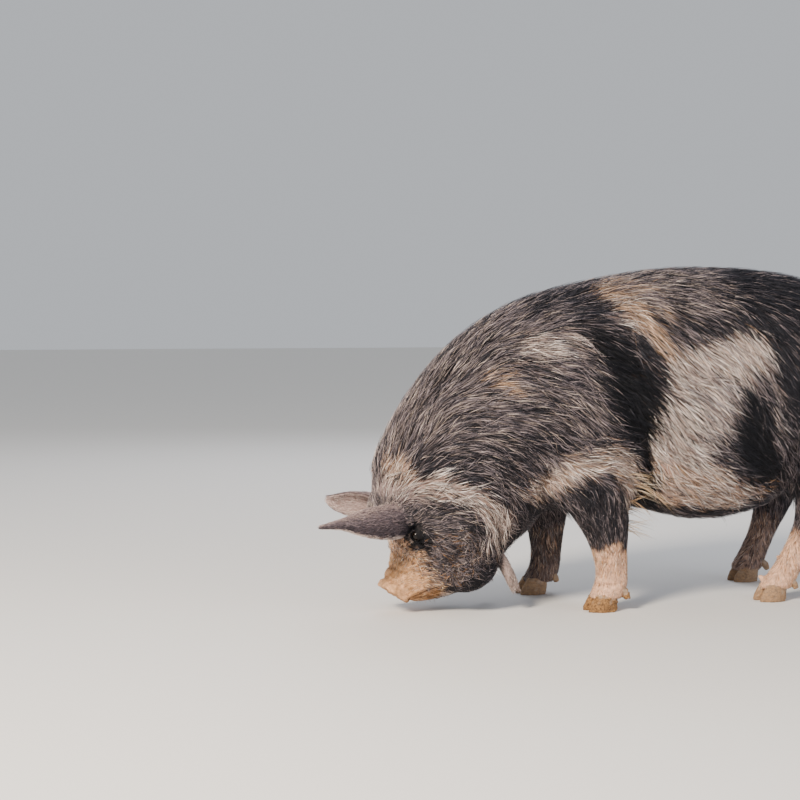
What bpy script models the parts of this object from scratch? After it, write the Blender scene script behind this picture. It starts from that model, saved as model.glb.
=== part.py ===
"""Kunekune pig, grazing: a life-size still model in separate named pieces."""

import math
import random

import bmesh
import bpy
from mathutils import Matrix, Vector
from mathutils.bvhtree import BVHTree

# Sizes are in metres. The body is laid out with x = 0 between the fore feet: X runs from the
# head (-) to the rump (+), Y to the pig's right, Z up from the floor.
FRAME_SHIFT_X = -0.0836         # moves the finished pig so that its footprint is centred
FRAME_SHIFT_Y = 0.0
GAP = 0.0003                    # clearance kept between touching pieces
FLESH_VOXEL = 0.009             # grid that the flesh masses are fused on
BODY_SHARE = 0.026              # triangles kept of the fused body
HEAD_SHARE = 0.12               # triangles kept of the fused body where it makes the head

# Trunk stations: x, top, underside, half width, how much fuller the lower half is.
TRUNK = (
    (-0.160, 0.560, 0.330, 0.060, 0.00),
    (-0.130, 0.640, 0.270, 0.120, 0.04),
    (-0.070, 0.682, 0.240, 0.165, 0.06),
    (0.040, 0.706, 0.230, 0.190, 0.10),
    (0.160, 0.726, 0.204, 0.212, 0.14),
    (0.290, 0.732, 0.190, 0.226, 0.16),
    (0.420, 0.727, 0.218, 0.222, 0.14),
    (0.540, 0.708, 0.275, 0.198, 0.06),
    (0.640, 0.662, 0.330, 0.166, 0.00),
    (0.705, 0.600, 0.380, 0.120, 0.00),
    (0.742, 0.530, 0.440, 0.050, 0.00),
)

# Neck and head stations: crest or forehead point (x, z), throat or jaw point (x, z), half width,
# how much fuller the throat side is.
NECK = (
    (0.010, 0.690, 0.050, 0.260, 0.150, 0.00),
    (-0.080, 0.680, -0.020, 0.245, 0.176, 0.00),
    (-0.165, 0.652, -0.075, 0.235, 0.170, 0.04),
    (-0.255, 0.603, -0.115, 0.205, 0.158, 0.06),
    (-0.335, 0.538, -0.145, 0.165, 0.146, 0.08),
    (-0.400, 0.460, -0.178, 0.140, 0.138, 0.10),
    (-0.447, 0.388, -0.205, 0.116, 0.132, 0.12),
    (-0.476, 0.318, -0.232, 0.090, 0.126, 0.14),
    (-0.482, 0.258, -0.256, 0.068, 0.116, 0.16),
    (-0.468, 0.205, -0.284, 0.048, 0.103, 0.18),
    (-0.450, 0.160, -0.310, 0.034, 0.086, 0.16),
    (-0.442, 0.128, -0.335, 0.026, 0.069, 0.10),
    (-0.446, 0.104, -0.356, 0.020, 0.058, 0.02),
    (-0.454, 0.086, -0.382, 0.018, 0.052, 0.00),
    (-0.461, 0.072, -0.404, 0.019, 0.048, 0.00),
)

# Rounded masses that fill out the flesh: centre, radii, turn about Y in degrees. Each has a twin
# on the other side where its y isn't 0.
MASSES = (
    ((0.000, 0.098, 0.430), (0.175, 0.088, 0.215), 14.0),      # shoulder blade
    ((-0.035, 0.118, 0.300), (0.105, 0.066, 0.100), 0.0),      # upper arm
    ((0.255, 0.085, 0.350), (0.260, 0.133, 0.160), 0.0),       # side of the belly
    ((0.560, 0.095, 0.440), (0.185, 0.098, 0.210), -14.0),     # ham
    ((-0.292, 0.062, 0.116), (0.068, 0.056, 0.074), 30.0),     # jowl
    ((-0.322, 0.070, 0.180), (0.080, 0.048, 0.078), 0.0),      # cheek
    ((-0.442, 0.052, 0.222), (0.038, 0.036, 0.044), 0.0),      # mound that carries the ear
    ((-0.404, 0.056, 0.170), (0.034, 0.028, 0.026), 20.0),     # brow
    ((-0.060, 0.000, 0.285), (0.100, 0.100, 0.075), 0.0),      # brisket
)

# Leg stations: z, x, half length along X, half width along Y. Each leg has its own lean.
FORE_LEG = (
    (0.400, 0.000, 0.110, 0.062),
    (0.330, -0.016, 0.100, 0.060),
    (0.285, -0.028, 0.092, 0.056),
    (0.240, -0.026, 0.080, 0.051),
    (0.190, -0.010, 0.059, 0.043),
    (0.145, 0.003, 0.044, 0.037),
    (0.100, 0.010, 0.037, 0.033),
    (0.065, 0.012, 0.037, 0.035),
    (0.042, 0.005, 0.041, 0.037),
    (0.022, -0.004, 0.040, 0.034),
)
HIND_LEG = (
    (0.460, 0.150, 0.125, 0.060),
    (0.390, 0.135, 0.132, 0.066),
    (0.330, 0.112, 0.112, 0.062),
    (0.270, 0.098, 0.084, 0.052),
    (0.215, 0.094, 0.060, 0.041),
    (0.170, 0.080, 0.046, 0.034),
    (0.120, 0.052, 0.037, 0.031),
    (0.070, 0.022, 0.036, 0.033),
    (0.042, 0.004, 0.041, 0.036),
    (0.022, -0.006, 0.040, 0.034),
)
# Each foot: kind, side (-1 is the pig's left), x of the foot, y of the foot, how far the top of the
# leg stands ahead of (-) or behind (+) its place in the tables above.
LEGS = {
    "leg_fore_left": ("fore", -1, 0.000, -0.128, 0.000),
    "leg_fore_right": ("fore", 1, -0.050, 0.128, 0.052),
    "leg_hind_left": ("hind", -1, 0.412, -0.132, 0.038),
    "leg_hind_right": ("hind", 1, 0.500, 0.132, -0.050),
}


def clear_scene():
    for old in list(bpy.data.objects):
        bpy.data.objects.remove(old)


def new_collection(name, hidden=False):
    made = bpy.data.collections.new(name)
    bpy.context.scene.collection.children.link(made)
    made.hide_render = hidden
    return made


def add_object(name, mesh, collection):
    made = bpy.data.objects.new(name, mesh)
    collection.objects.link(made)
    return made


def between(table, t):
    """The row at t of a table, where 0 is the first row and 1 the last, on a smooth curve."""
    place = t * (len(table) - 1)
    low = min(int(place), len(table) - 2)
    part = place - low
    rows = [table[max(0, min(len(table) - 1, low + k))] for k in (-1, 0, 1, 2)]
    mixed = []
    for a, b, c, d in zip(*rows):
        mixed.append(b + 0.5 * part * (c - a + part * (2 * a - 5 * b + 4 * c - d
                                                       + part * (3 * (b - c) + d - a))))
    return mixed


def loft(name, rings, collection):
    """A closed skin over rings of equal length, with a flat cap at each end."""
    shape = bmesh.new()
    rows = [[shape.verts.new(point) for point in ring] for ring in rings]
    count = len(rows[0])
    for first, second in zip(rows, rows[1:]):
        for i in range(count):
            j = (i + 1) % count
            shape.faces.new((first[i], first[j], second[j], second[i]))
    shape.faces.new(rows[0][::-1])
    shape.faces.new(rows[-1])
    bmesh.ops.recalc_face_normals(shape, faces=shape.faces)
    mesh = bpy.data.meshes.new(name)
    shape.to_mesh(mesh)
    shape.free()
    return add_object(name, mesh, collection)


def body_ring(crest, throat, half_width, fuller, points=28):
    """An egg-shaped ring across the body, from its crest point to its throat point."""
    centre = (crest + throat) / 2
    up = (crest - throat) / 2
    ring = []
    for i in range(points):
        turn = math.tau * i / points
        rise = math.sin(turn)
        side = math.cos(turn) * half_width * (1 - fuller * rise)
        ring.append(centre + up * rise + Vector((0, side, 0)))
    return ring


def level_ring(centre, half_x, half_y, points=20, pointed=0.0):
    """A level oval ring; pointed narrows its front end."""
    ring = []
    for i in range(points):
        turn = math.tau * i / points
        ahead = math.cos(turn)
        side = math.sin(turn) * half_y * (1 - pointed * max(0.0, -ahead))
        ring.append(centre + Vector((ahead * half_x, side, 0)))
    return ring


def ball(name, centre, radii, turn_y, collection):
    bpy.ops.mesh.primitive_uv_sphere_add(segments=24, ring_count=14, radius=1.0)
    made = bpy.context.object
    made.name = name
    made.data.transform(
        Matrix.Translation(centre)
        @ Matrix.Rotation(math.radians(turn_y), 4, "Y")
        @ Matrix.Diagonal((*radii, 1.0))
    )
    for home in list(made.users_collection):
        home.objects.unlink(made)
    collection.objects.link(made)
    return made


def leg_rings(table, side_y, foot_x, lean):
    """Rings down a leg; lean moves its top along X and fades out at the foot."""
    rings = []
    top = table[0][0]
    steps = 3 * (len(table) - 1)
    for i in range(steps + 1):
        z, x, half_x, half_y = between(table, i / steps)
        x += foot_x + lean * min(1.0, z / top)
        rings.append(level_ring(Vector((x, side_y, z)), half_x, half_y))
    return rings


def flesh_masses(collection):
    """Every mass of the body's flesh, overlapping its neighbours."""
    rings = []
    for i in range(31):
        x, top, bottom, half_width, fuller = between(TRUNK, i / 30)
        rings.append(body_ring(Vector((x, 0, top)), Vector((x, 0, bottom)), half_width, fuller))
    loft("trunk_mass", rings, collection)
    rings = []
    for i in range(43):
        cx, cz, tx, tz, half_width, fuller = between(NECK, i / 42)
        rings.append(body_ring(Vector((cx, 0, cz)), Vector((tx, 0, tz)), half_width, fuller))
    loft("neck_mass", rings, collection)
    for n, (centre, radii, turn) in enumerate(MASSES):
        for side in (-1, 1) if centre[1] else (1,):
            place = (centre[0], centre[1] * side, centre[2])
            ball(f"mass_{n}_{side}", place, radii, turn, collection)
    for name, (kind, side, foot_x, foot_y, lean) in LEGS.items():
        table = FORE_LEG if kind == "fore" else HIND_LEG
        loft(name + "_mass", leg_rings(table, foot_y, foot_x, lean), collection)


def evaluated_copy(source, name, collection):
    """A new object from a source as its modifiers leave it."""
    graph = bpy.context.evaluated_depsgraph_get()
    mesh = bpy.data.meshes.new_from_object(source.evaluated_get(graph))
    mesh.transform(source.matrix_world)
    return add_object(name, mesh, collection)


def join(name, collection, target):
    """One object that holds every mesh of a collection, whose objects are then removed."""
    shape = bmesh.new()
    for piece in list(collection.objects):
        shape.from_mesh(piece.data)
        bpy.data.objects.remove(piece)
    mesh = bpy.data.meshes.new(name)
    shape.to_mesh(mesh)
    shape.free()
    return add_object(name, mesh, target)


def softness(point):
    """How strongly the flesh is smoothed at a point: fully on the trunk, little on feet and face."""
    trunk = min(1.0, max(0.0, (point.x + 0.34) / 0.16))
    above = min(1.0, max(0.0, (point.z - 0.17) / 0.14))
    return 0.10 + 0.90 * trunk * above


def fuse_flesh(helpers):
    """The whole body as one closed smooth surface, before it is parted."""
    masses = new_collection("flesh_masses", hidden=True)
    flesh_masses(masses)
    whole = join("flesh", masses, helpers)
    bpy.data.collections.remove(masses)
    grid = whole.modifiers.new("grid", "REMESH")
    grid.mode = "VOXEL"
    grid.voxel_size = FLESH_VOXEL
    fused = evaluated_copy(whole, "fused", helpers)
    bpy.data.objects.remove(whole)
    soft_parts = fused.vertex_groups.new(name="soft_parts")
    for vert in fused.data.vertices:
        soft_parts.add([vert.index], softness(vert.co), "REPLACE")
    soft = fused.modifiers.new("soft", "SMOOTH")
    soft.factor = 0.9
    soft.iterations = 26
    soft.vertex_group = "soft_parts"
    return apply_modifiers(fused)


def apply_modifiers(target):
    """Gives the object the mesh that its modifiers make, and clears them."""
    graph = bpy.context.evaluated_depsgraph_get()
    mesh = bpy.data.meshes.new_from_object(target.evaluated_get(graph))
    target.modifiers.clear()
    target.vertex_groups.clear()
    target.data = mesh
    return target


def tube(name, path, radii, collection, points=12, flatten=1.0):
    """A closed bent tube whose rings stand square to its path; flatten squeezes it sideways."""
    centres = [Vector(point) for point in path]
    rings = []
    side = None
    for i, centre in enumerate(centres):
        before = centres[max(0, i - 1)]
        after = centres[min(len(centres) - 1, i + 1)]
        along = (after - before).normalized()
        if side is None:
            side = along.cross(Vector((0, 1, 0))).normalized()
        side = (side - along * side.dot(along)).normalized()
        other = along.cross(side)
        ring = []
        for k in range(points):
            turn = math.tau * k / points
            ring.append(centre + (side * math.cos(turn) + other * math.sin(turn) * flatten) * radii[i])
        rings.append(ring)
    return loft(name, rings, collection)


def smooth_path(points, steps):
    """Points spread evenly by count along a smooth curve through the given ones."""
    return [Vector(between(points, i / steps)) for i in range(steps + 1)]


def combine(target, tools, operation):
    """Cuts or joins every object of a collection with the target, one by one, and removes them."""
    for tool in list(tools.objects):
        change = target.modifiers.new("combine", "BOOLEAN")
        change.operation = operation
        change.object = tool
        change.solver = "MANIFOLD"
        apply_modifiers(target)
        bpy.data.objects.remove(tool)
    return target


def keep_largest(target):
    """Leaves only the closed surface that has the most volume."""
    shape = bmesh.new()
    shape.from_mesh(target.data)
    unseen = set(shape.verts)
    islands = []
    while unseen:
        stack = [unseen.pop()]
        island = set(stack)
        while stack:
            for edge in stack.pop().link_edges:
                for vert in edge.verts:
                    if vert in unseen:
                        unseen.discard(vert)
                        island.add(vert)
                        stack.append(vert)
        islands.append(island)
    largest = max(islands, key=island_volume)
    bmesh.ops.delete(shape, geom=[v for v in shape.verts if v not in largest], context="VERTS")
    bmesh.ops.triangulate(shape, faces=shape.faces)
    shape.to_mesh(target.data)
    shape.free()
    return target


def island_volume(island):
    volume = 0.0
    for face in {face for vert in island for face in vert.link_faces}:
        corners = [vert.co for vert in face.verts]
        for second, third in zip(corners[1:], corners[2:]):
            volume += corners[0].dot(second.cross(third)) / 6
    return volume


def block(name, collection, x_low, x_high, y_range, top, bottom=-0.10):
    """A block with six flat sides. x_low and x_high are its X limits at the bottom and the top;
    top is its height at the two ends of y_range."""
    bpy.ops.mesh.primitive_cube_add(size=2.0)
    made = bpy.context.object
    made.name = name
    for vert in made.data.vertices:
        high = vert.co.z > 0
        outer = vert.co.y > 0
        ends = x_high if high else x_low
        z = top[1 if outer else 0] if high else bottom
        vert.co = (ends[1 if vert.co.x > 0 else 0], y_range[1 if outer else 0], z)
    if y_range[1] < y_range[0]:
        made.data.flip_normals()
    return move_to(made, collection)


def move_to(made, collection):
    for home in list(made.users_collection):
        home.objects.unlink(made)
    collection.objects.link(made)
    return made


def half_space(name, collection, plane, ahead):
    """A big block whose face holds the plane's two points (x, z) and runs along Y. ahead=True
    fills the head's side of it."""
    a = Vector((plane[0][0], 0, plane[0][1]))
    b = Vector((plane[1][0], 0, plane[1][1]))
    side = Vector((0, 1, 0))
    normal = side.cross((b - a).normalized())
    if not ahead:
        normal = -normal
    size = 3.0
    centre = (a + b) / 2 + normal * (size / 2 - GAP / 2)
    bpy.ops.mesh.primitive_cube_add(size=size)
    made = bpy.context.object
    made.name = name
    turn = Matrix((normal, side, normal.cross(side))).transposed().to_4x4()
    made.data.transform(Matrix.Translation(centre) @ turn)
    return move_to(made, collection)


def swollen_copy(source, name, amount, collection):
    """A copy of a closed object, pushed outwards by amount."""
    made = add_object(name, source.data.copy(), collection)
    shape = bmesh.new()
    shape.from_mesh(made.data)
    shape.normal_update()
    moves = [vert.normal * amount for vert in shape.verts]
    for vert, move in zip(shape.verts, moves):
        vert.co += move
    shape.to_mesh(made.data)
    shape.free()
    return made


def make_room(target, *neighbours):
    """Cuts away the target where it would touch its neighbours, with the usual gap."""
    tools = new_collection("room", hidden=True)
    for neighbour in neighbours:
        swollen_copy(neighbour, neighbour.name + "_room", GAP, tools)
    combine(target, tools, "DIFFERENCE")
    bpy.data.collections.remove(tools)
    return keep_largest(target)


def lighter(source, name, share, collection):
    """A copy of a closed object with only a share of its triangles."""
    fewer = source.modifiers.new("fewer", "DECIMATE")
    fewer.ratio = share
    fewer.use_collapse_triangulate = True
    made = evaluated_copy(source, name, collection)
    source.modifiers.remove(fewer)
    return made


def part_of(body, name, pig, cuts, keeps=()):
    """A piece of the body: what the keeps share with it, less the cuts."""
    piece = add_object(name, body.data.copy(), pig)
    for operation, makers in (("INTERSECT", keeps), ("DIFFERENCE", cuts)):
        tools = new_collection("parting_tools", hidden=True)
        for maker in makers:
            maker(tools)
        combine(piece, tools, operation)
        bpy.data.collections.remove(tools)
    return keep_largest(piece)


# The planes that part the body, each through two points (x, z) on the middle plane.
HEAD_PLANE = ((-0.486, 0.285), (-0.172, 0.112))
NECK_PLANE = ((-0.215, 0.630), (-0.130, 0.205))
# Blocks that part each leg: X limits at the floor and at the top, Y limits, top at those limits.
LEG_BLOCKS = {
    "leg_fore_left": ((-0.090, 0.090), (-0.150, 0.085), (-0.045, -0.300), (0.236, 0.375)),
    "leg_fore_right": ((-0.140, 0.060), (-0.150, 0.085), (0.045, 0.300), (0.236, 0.375)),
    "leg_hind_left": ((0.345, 0.550), (0.490, 0.800), (-0.045, -0.300), (0.275, 0.430)),
    "leg_hind_right": ((0.400, 0.640), (0.490, 0.800), (0.045, 0.300), (0.275, 0.430)),
}


def leg_block(name, room):
    """A function that makes the block of one leg, grown by room."""
    x_low, x_high, y_range, top = LEG_BLOCKS[name]
    side = 1 if y_range[1] > 0 else -1

    def make(tools):
        block(
            "block_" + name,
            tools,
            (x_low[0] - room, x_low[1] + room),
            (x_high[0] - room, x_high[1] + room),
            (y_range[0] - side * room, y_range[1]),
            (top[0] + room, top[1] + room),
        )

    return make


def part_body(body, fine_body, pig):
    """The torso, neck, head and legs, cut apart with thin gaps."""
    def before_neck(tools):
        half_space("before_neck", tools, NECK_PLANE, ahead=True)

    def behind_neck(tools):
        half_space("behind_neck", tools, NECK_PLANE, ahead=False)

    def before_face(tools):
        half_space("before_face", tools, HEAD_PLANE, ahead=True)

    def behind_face(tools):
        half_space("behind_face", tools, HEAD_PLANE, ahead=False)

    blocks = [leg_block(name, GAP) for name in LEGS]
    made = {"torso": part_of(body, "torso", pig, [before_neck, *blocks])}
    made["neck"] = part_of(body, "neck", pig, [before_face, behind_neck])
    made["head"] = part_of(fine_body, "head", pig, [behind_face])
    for name in LEGS:
        made[name] = part_of(body, name, pig, [before_neck], [leg_block(name, 0.0)])
    return made


def side_of(plane, point):
    """How far a point lies on the head's side of a plane."""
    a = Vector((plane[0][0], 0, plane[0][1]))
    b = Vector((plane[1][0], 0, plane[1][1]))
    return (point - a).dot(Vector((0, 1, 0)).cross((b - a).normalized()))


def in_leg_block(name, point):
    x_low, x_high, y_range, top = LEG_BLOCKS[name]
    out = (point.y - y_range[0]) / (y_range[1] - y_range[0])
    if out < 0:
        return False
    top_here = top[0] + (top[1] - top[0]) * out
    if point.z > top_here:
        return False
    up = (point.z + 0.10) / (top_here + 0.10)
    low = x_low[0] + (x_high[0] - x_low[0]) * up
    high = x_low[1] + (x_high[1] - x_low[1]) * up
    return low < point.x < high


def region_of(point):
    """The name of the piece of the body that a point belongs to."""
    if side_of(HEAD_PLANE, point) > 0:
        return "head"
    if side_of(NECK_PLANE, point) > 0:
        return "neck"
    for name in LEGS:
        if in_leg_block(name, point):
            return name
    return "torso"


# Hair: places (x, z) on the side of the pig, the lie of the hair there in degrees above the level
# line towards the rump, its length, and how far apart its locks are rooted along the lie.
HAIR = (
    (-0.470, 0.280, 62.0, 0.134, 0.078),
    (-0.430, 0.400, 55.0, 0.152, 0.082),
    (-0.330, 0.530, 36.0, 0.165, 0.086),
    (-0.200, 0.630, 16.0, 0.171, 0.089),
    (-0.380, 0.300, 14.0, 0.146, 0.082),
    (-0.290, 0.430, -4.0, 0.159, 0.086),
    (-0.180, 0.520, -16.0, 0.165, 0.089),
    (-0.300, 0.220, -24.0, 0.134, 0.078),
    (-0.220, 0.320, -28.0, 0.146, 0.082),
    (-0.170, 0.200, -34.0, 0.134, 0.080),
    (-0.060, 0.680, -6.0, 0.165, 0.091),
    (-0.050, 0.560, -36.0, 0.159, 0.091),
    (-0.060, 0.420, -44.0, 0.152, 0.089),
    (-0.090, 0.280, -56.0, 0.134, 0.084),
    (0.120, 0.715, -20.0, 0.159, 0.093),
    (0.100, 0.600, -56.0, 0.159, 0.093),
    (0.110, 0.440, -44.0, 0.159, 0.093),
    (0.120, 0.300, -30.0, 0.183, 0.089),
    (0.120, 0.210, -16.0, 0.183, 0.086),
    (0.320, 0.730, -26.0, 0.152, 0.095),
    (0.320, 0.600, -62.0, 0.152, 0.095),
    (0.320, 0.440, -52.0, 0.152, 0.095),
    (0.320, 0.290, -30.0, 0.152, 0.095),
    (0.320, 0.195, -4.0, 0.146, 0.093),
    (0.520, 0.715, -34.0, 0.146, 0.095),
    (0.520, 0.580, -72.0, 0.146, 0.095),
    (0.520, 0.430, -62.0, 0.140, 0.095),
    (0.500, 0.280, -50.0, 0.134, 0.093),
    (0.680, 0.630, -62.0, 0.140, 0.093),
    (0.700, 0.480, -82.0, 0.134, 0.093),
)


def hair_at(point):
    """The lie (as a direction), length and spacing of the hair at a point, from the table."""
    total = 0.0
    lie = Vector((0, 0, 0))
    length = 0.0
    spacing = 0.0
    for x, z, degrees, row_length, row_spacing in HAIR:
        weight = 1 / (0.0015 + (point.x - x) ** 2 + (point.z - z) ** 2) ** 2
        angle = math.radians(degrees)
        lie += Vector((math.cos(angle), 0, math.sin(angle))) * weight
        length += row_length * weight
        spacing += row_spacing * weight
        total += weight
    return lie.normalized(), length / total, spacing / total


# Along a lock: how far, its width as a share of the widest, and its height over the skin.
LOCK_ROWS = (
    (0.00, 0.28, -0.0095),
    (0.30, 1.00, 0.0018),
    (0.64, 0.78, 0.0055),
    (1.00, 0.05, 0.0085),
)
LOCK_THICKNESS = 0.0075
TAIL_ROOT = Vector((0.712, 0.0, 0.600))
TAIL_CLEAR = 0.065              # no lock lies nearer to the root of the tail
ACROSS_SHARE = 0.66             # distance between locks across the lie, as a share of that along it


def lock_rings(surface, root, length, width, curl, region):
    """Rings of a flat lock laid along the skin from its root, or None where it would cross into
    another piece of the body."""
    point, out, _, _ = surface.find_nearest(root)
    lie = hair_at(point)[0]
    rings = []
    done = 0.0
    for share, wide, height in LOCK_ROWS:
        turned = lie + out.cross(lie) * curl * share
        along = (turned - out * turned.dot(out)).normalized()
        point, out, _, _ = surface.find_nearest(point + along * (share - done) * length)
        done = share
        along = (along - out * along.dot(out)).normalized()
        side = out.cross(along) * (width * wide / 2)
        middle = point + out * height
        thick = out * LOCK_THICKNESS * (0.35 + 0.65 * wide)
        ring = [middle - side, middle + thick, middle + side]
        if any(region_of(corner) != region for corner in ring + [point + along * 0.006]):
            return None
        if (middle - TAIL_ROOT).length < TAIL_CLEAR:
            return None
        rings.append(ring)
    return rings


def crowded(place, normal, roots):
    """Whether a root would stand too near another one; they stand closer across the lie."""
    lie, _, spacing = hair_at(place)
    along = (lie - normal * lie.dot(normal)).normalized()
    for other in roots:
        offset = other - place
        ahead = offset.dot(along)
        aside = offset.length_squared - ahead * ahead
        if ahead * ahead + aside / ACROSS_SHARE ** 2 < spacing * spacing:
            return True
    return False


def add_locks(body, fused, regions):
    """Joins the long coat's locks to the body, spread evenly over the given pieces of it."""
    surface = surface_of(body)
    chance = random.Random(11)
    tools = new_collection("locks", hidden=True)
    verts = list(fused.data.vertices)
    chance.shuffle(verts)
    roots = []
    for vert in verts[:14000]:
        place = vert.co
        region = region_of(place)
        if region not in regions or crowded(place, vert.normal, roots):
            continue
        length = hair_at(place)[1] * chance.uniform(0.9, 1.2)
        curl = chance.uniform(-0.5, 0.5)
        width = chance.uniform(0.034, 0.044)
        for share in (1.0, 0.75, 0.5):
            rings = lock_rings(surface, place, length * share, width * share ** 0.5, curl, region)
            if rings:
                loft(f"lock_{len(roots)}", rings, tools)
                roots.append(place.copy())
                break
    combine(body, tools, "UNION")
    bpy.data.collections.remove(tools)


# Teats: how far along the belly, and how far from its middle.
TEATS = ((0.120, 0.056), (0.225, 0.062), (0.330, 0.062), (0.425, 0.052))


def add_teats(body, fused):
    surface = surface_of(fused)
    tools = new_collection("teats", hidden=True)
    for n, (x, y) in enumerate(TEATS):
        for side in (-1, 1):
            root, out, _, _ = surface.find_nearest(Vector((x, y * side, 0.100)))
            path = [root - out * 0.004, root + out * 0.006, root + out * 0.013]
            tube(f"teat_{n}_{side}", path, (0.0080, 0.0055, 0.0040), tools, points=6)
    combine(body, tools, "UNION")
    bpy.data.collections.remove(tools)


# The snout's disc: its middle and top edge on the middle plane, and its half width.
SNOUT_MIDDLE = Vector((-0.4418, 0.0, 0.0385))
SNOUT_TOP = Vector((-0.4680, 0.0, 0.0570))
SNOUT_HALF_WIDTH = 0.048
# Depth behind the disc's face and size of each ring, from the face to the back.
SNOUT_PROFILE = (
    (0.0035, 0.62),
    (0.0000, 0.88),
    (0.0010, 0.99),
    (0.0050, 1.04),
    (0.0110, 0.98),
    (0.0240, 0.90),
)


def snout_axes():
    """The disc's upward and outward directions and its half height."""
    up = SNOUT_TOP - SNOUT_MIDDLE
    half_height = up.length
    up.normalize()
    out = Vector((0, 1, 0)).cross(up)
    if out.z > 0:
        out = -out
    return up, out, half_height


def snout_ring(depth, grow, points=18):
    up, out, half_height = snout_axes()
    ring = []
    for i in range(points):
        turn = math.tau * i / points
        rise = math.sin(turn)
        side = math.cos(turn)
        square = (abs(rise) ** 2.6 + abs(side) ** 2.6) ** (-1 / 2.6)
        across = Vector((0, side * square * SNOUT_HALF_WIDTH * grow, 0))
        ring.append(SNOUT_MIDDLE - out * depth + up * (rise * square * half_height * grow) + across)
    return ring


def make_snout(pig):
    """The bare disc with its rim and two nostrils."""
    snout = loft("snout", [snout_ring(depth, grow) for depth, grow in SNOUT_PROFILE], pig)
    up, out, _ = snout_axes()
    tools = new_collection("nostril_tools", hidden=True)
    for side in (-1, 1):
        mouth = SNOUT_MIDDLE + Vector((0, side * 0.0185, 0)) + up * 0.001
        deep = mouth - out * 0.015 + Vector((0, side * 0.003, 0))
        path = [mouth + out * 0.010, mouth - out * 0.004, deep]
        tube(f"nostril_{side}", path, (0.0110, 0.0095, 0.0060), tools, flatten=0.72)
    combine(snout, tools, "DIFFERENCE")
    bpy.data.collections.remove(tools)
    return keep_largest(snout)


# The ear's middle line from root to tip, for each side.
EAR_LINES = {
    "ear_left": ((-0.446, -0.062, 0.199), (-0.477, -0.084, 0.201), (-0.513, -0.100, 0.202),
                 (-0.552, -0.109, 0.203), (-0.593, -0.113, 0.205), (-0.633, -0.110, 0.201)),
    "ear_right": ((-0.440, 0.062, 0.204), (-0.462, 0.084, 0.212), (-0.486, 0.106, 0.216),
                  (-0.508, 0.125, 0.219), (-0.526, 0.140, 0.222), (-0.541, 0.152, 0.228)),
}
# Along each ear: half width, half angle of its cup in degrees, thickness.
EAR_ROWS = {
    "ear_left": ((0.029, 84.0, 0.0080), (0.037, 72.0, 0.0070), (0.036, 58.0, 0.0055),
                 (0.025, 48.0, 0.0045), (0.0110, 40.0, 0.0036), (0.0028, 24.0, 0.0026)),
    "ear_right": ((0.028, 80.0, 0.0080), (0.035, 72.0, 0.0070), (0.035, 60.0, 0.0055),
                  (0.029, 52.0, 0.0045), (0.022, 44.0, 0.0038), (0.010, 28.0, 0.0028)),
}
EAR_EDGE = {"ear_left": Vector((0.20, -0.50, -0.83)), "ear_right": Vector((0.34, 0.34, -0.87))}


def make_ear(name, pig, steps=9, across=6):
    """A leaf-shaped ear, cupped towards the face."""
    side = -1 if name == "ear_left" else 1
    outer_rows = []
    inner_rows = []
    for i in range(steps + 1):
        t = i / steps
        centre = Vector(between(EAR_LINES[name], t))
        ahead = Vector(between(EAR_LINES[name], min(1.0, t + 0.04)))
        behind = Vector(between(EAR_LINES[name], max(0.0, t - 0.04)))
        along = (ahead - behind).normalized()
        half_width, cup, thick = between(EAR_ROWS[name], t)
        edge = EAR_EDGE[name]
        edge = (edge - along * edge.dot(along)).normalized()
        back = edge.cross(along) * side
        cup = math.radians(cup)
        radius = half_width / math.sin(cup)
        outer = []
        inner = []
        for k in range(across + 1):
            turn = cup * (2 * k / across - 1)
            middle = centre - back * radius * math.cos(cup)
            spoke = back * math.cos(turn) + edge * math.sin(turn)
            rim = 1 - abs(2 * k / across - 1) ** 3
            outer.append(middle + spoke * (radius + thick * 0.5 * (0.35 + 0.65 * rim)))
            inner.append(middle + spoke * (radius - thick * 0.5 * (0.35 + 0.65 * rim)))
        outer_rows.append(outer)
        inner_rows.append(inner)
    rings = [outer + inner[::-1] for outer, inner in zip(outer_rows, inner_rows)]
    return loft(name, rings, pig)


# Middle lines and radii of the wattles and the tail.
WATTLE_PATH = ((-0.243, 0.060, 0.144), (-0.227, 0.066, 0.124), (-0.212, 0.071, 0.098),
               (-0.199, 0.075, 0.070), (-0.189, 0.078, 0.045))
WATTLE_RADII = (0.0115, 0.0122, 0.0125, 0.0121, 0.0096)
TAIL_PATH = ((0.660, 0.000, 0.610), (0.722, 0.000, 0.604), (0.757, 0.006, 0.560),
             (0.766, 0.016, 0.500), (0.768, 0.018, 0.440), (0.776, 0.008, 0.385),
             (0.786, -0.004, 0.345))
TAIL_RADII = (0.030, 0.026, 0.020, 0.015, 0.012, 0.0095, 0.0050)


# Locks of the tail's tuft: where each starts along the tail, its turn about it in degrees, length.
TAIL_LOCKS = ((0.62, 20.0, 0.070), (0.68, 140.0, 0.074), (0.72, 260.0, 0.072), (0.78, 80.0, 0.070),
              (0.84, 200.0, 0.066), (0.88, 320.0, 0.062))


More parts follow.
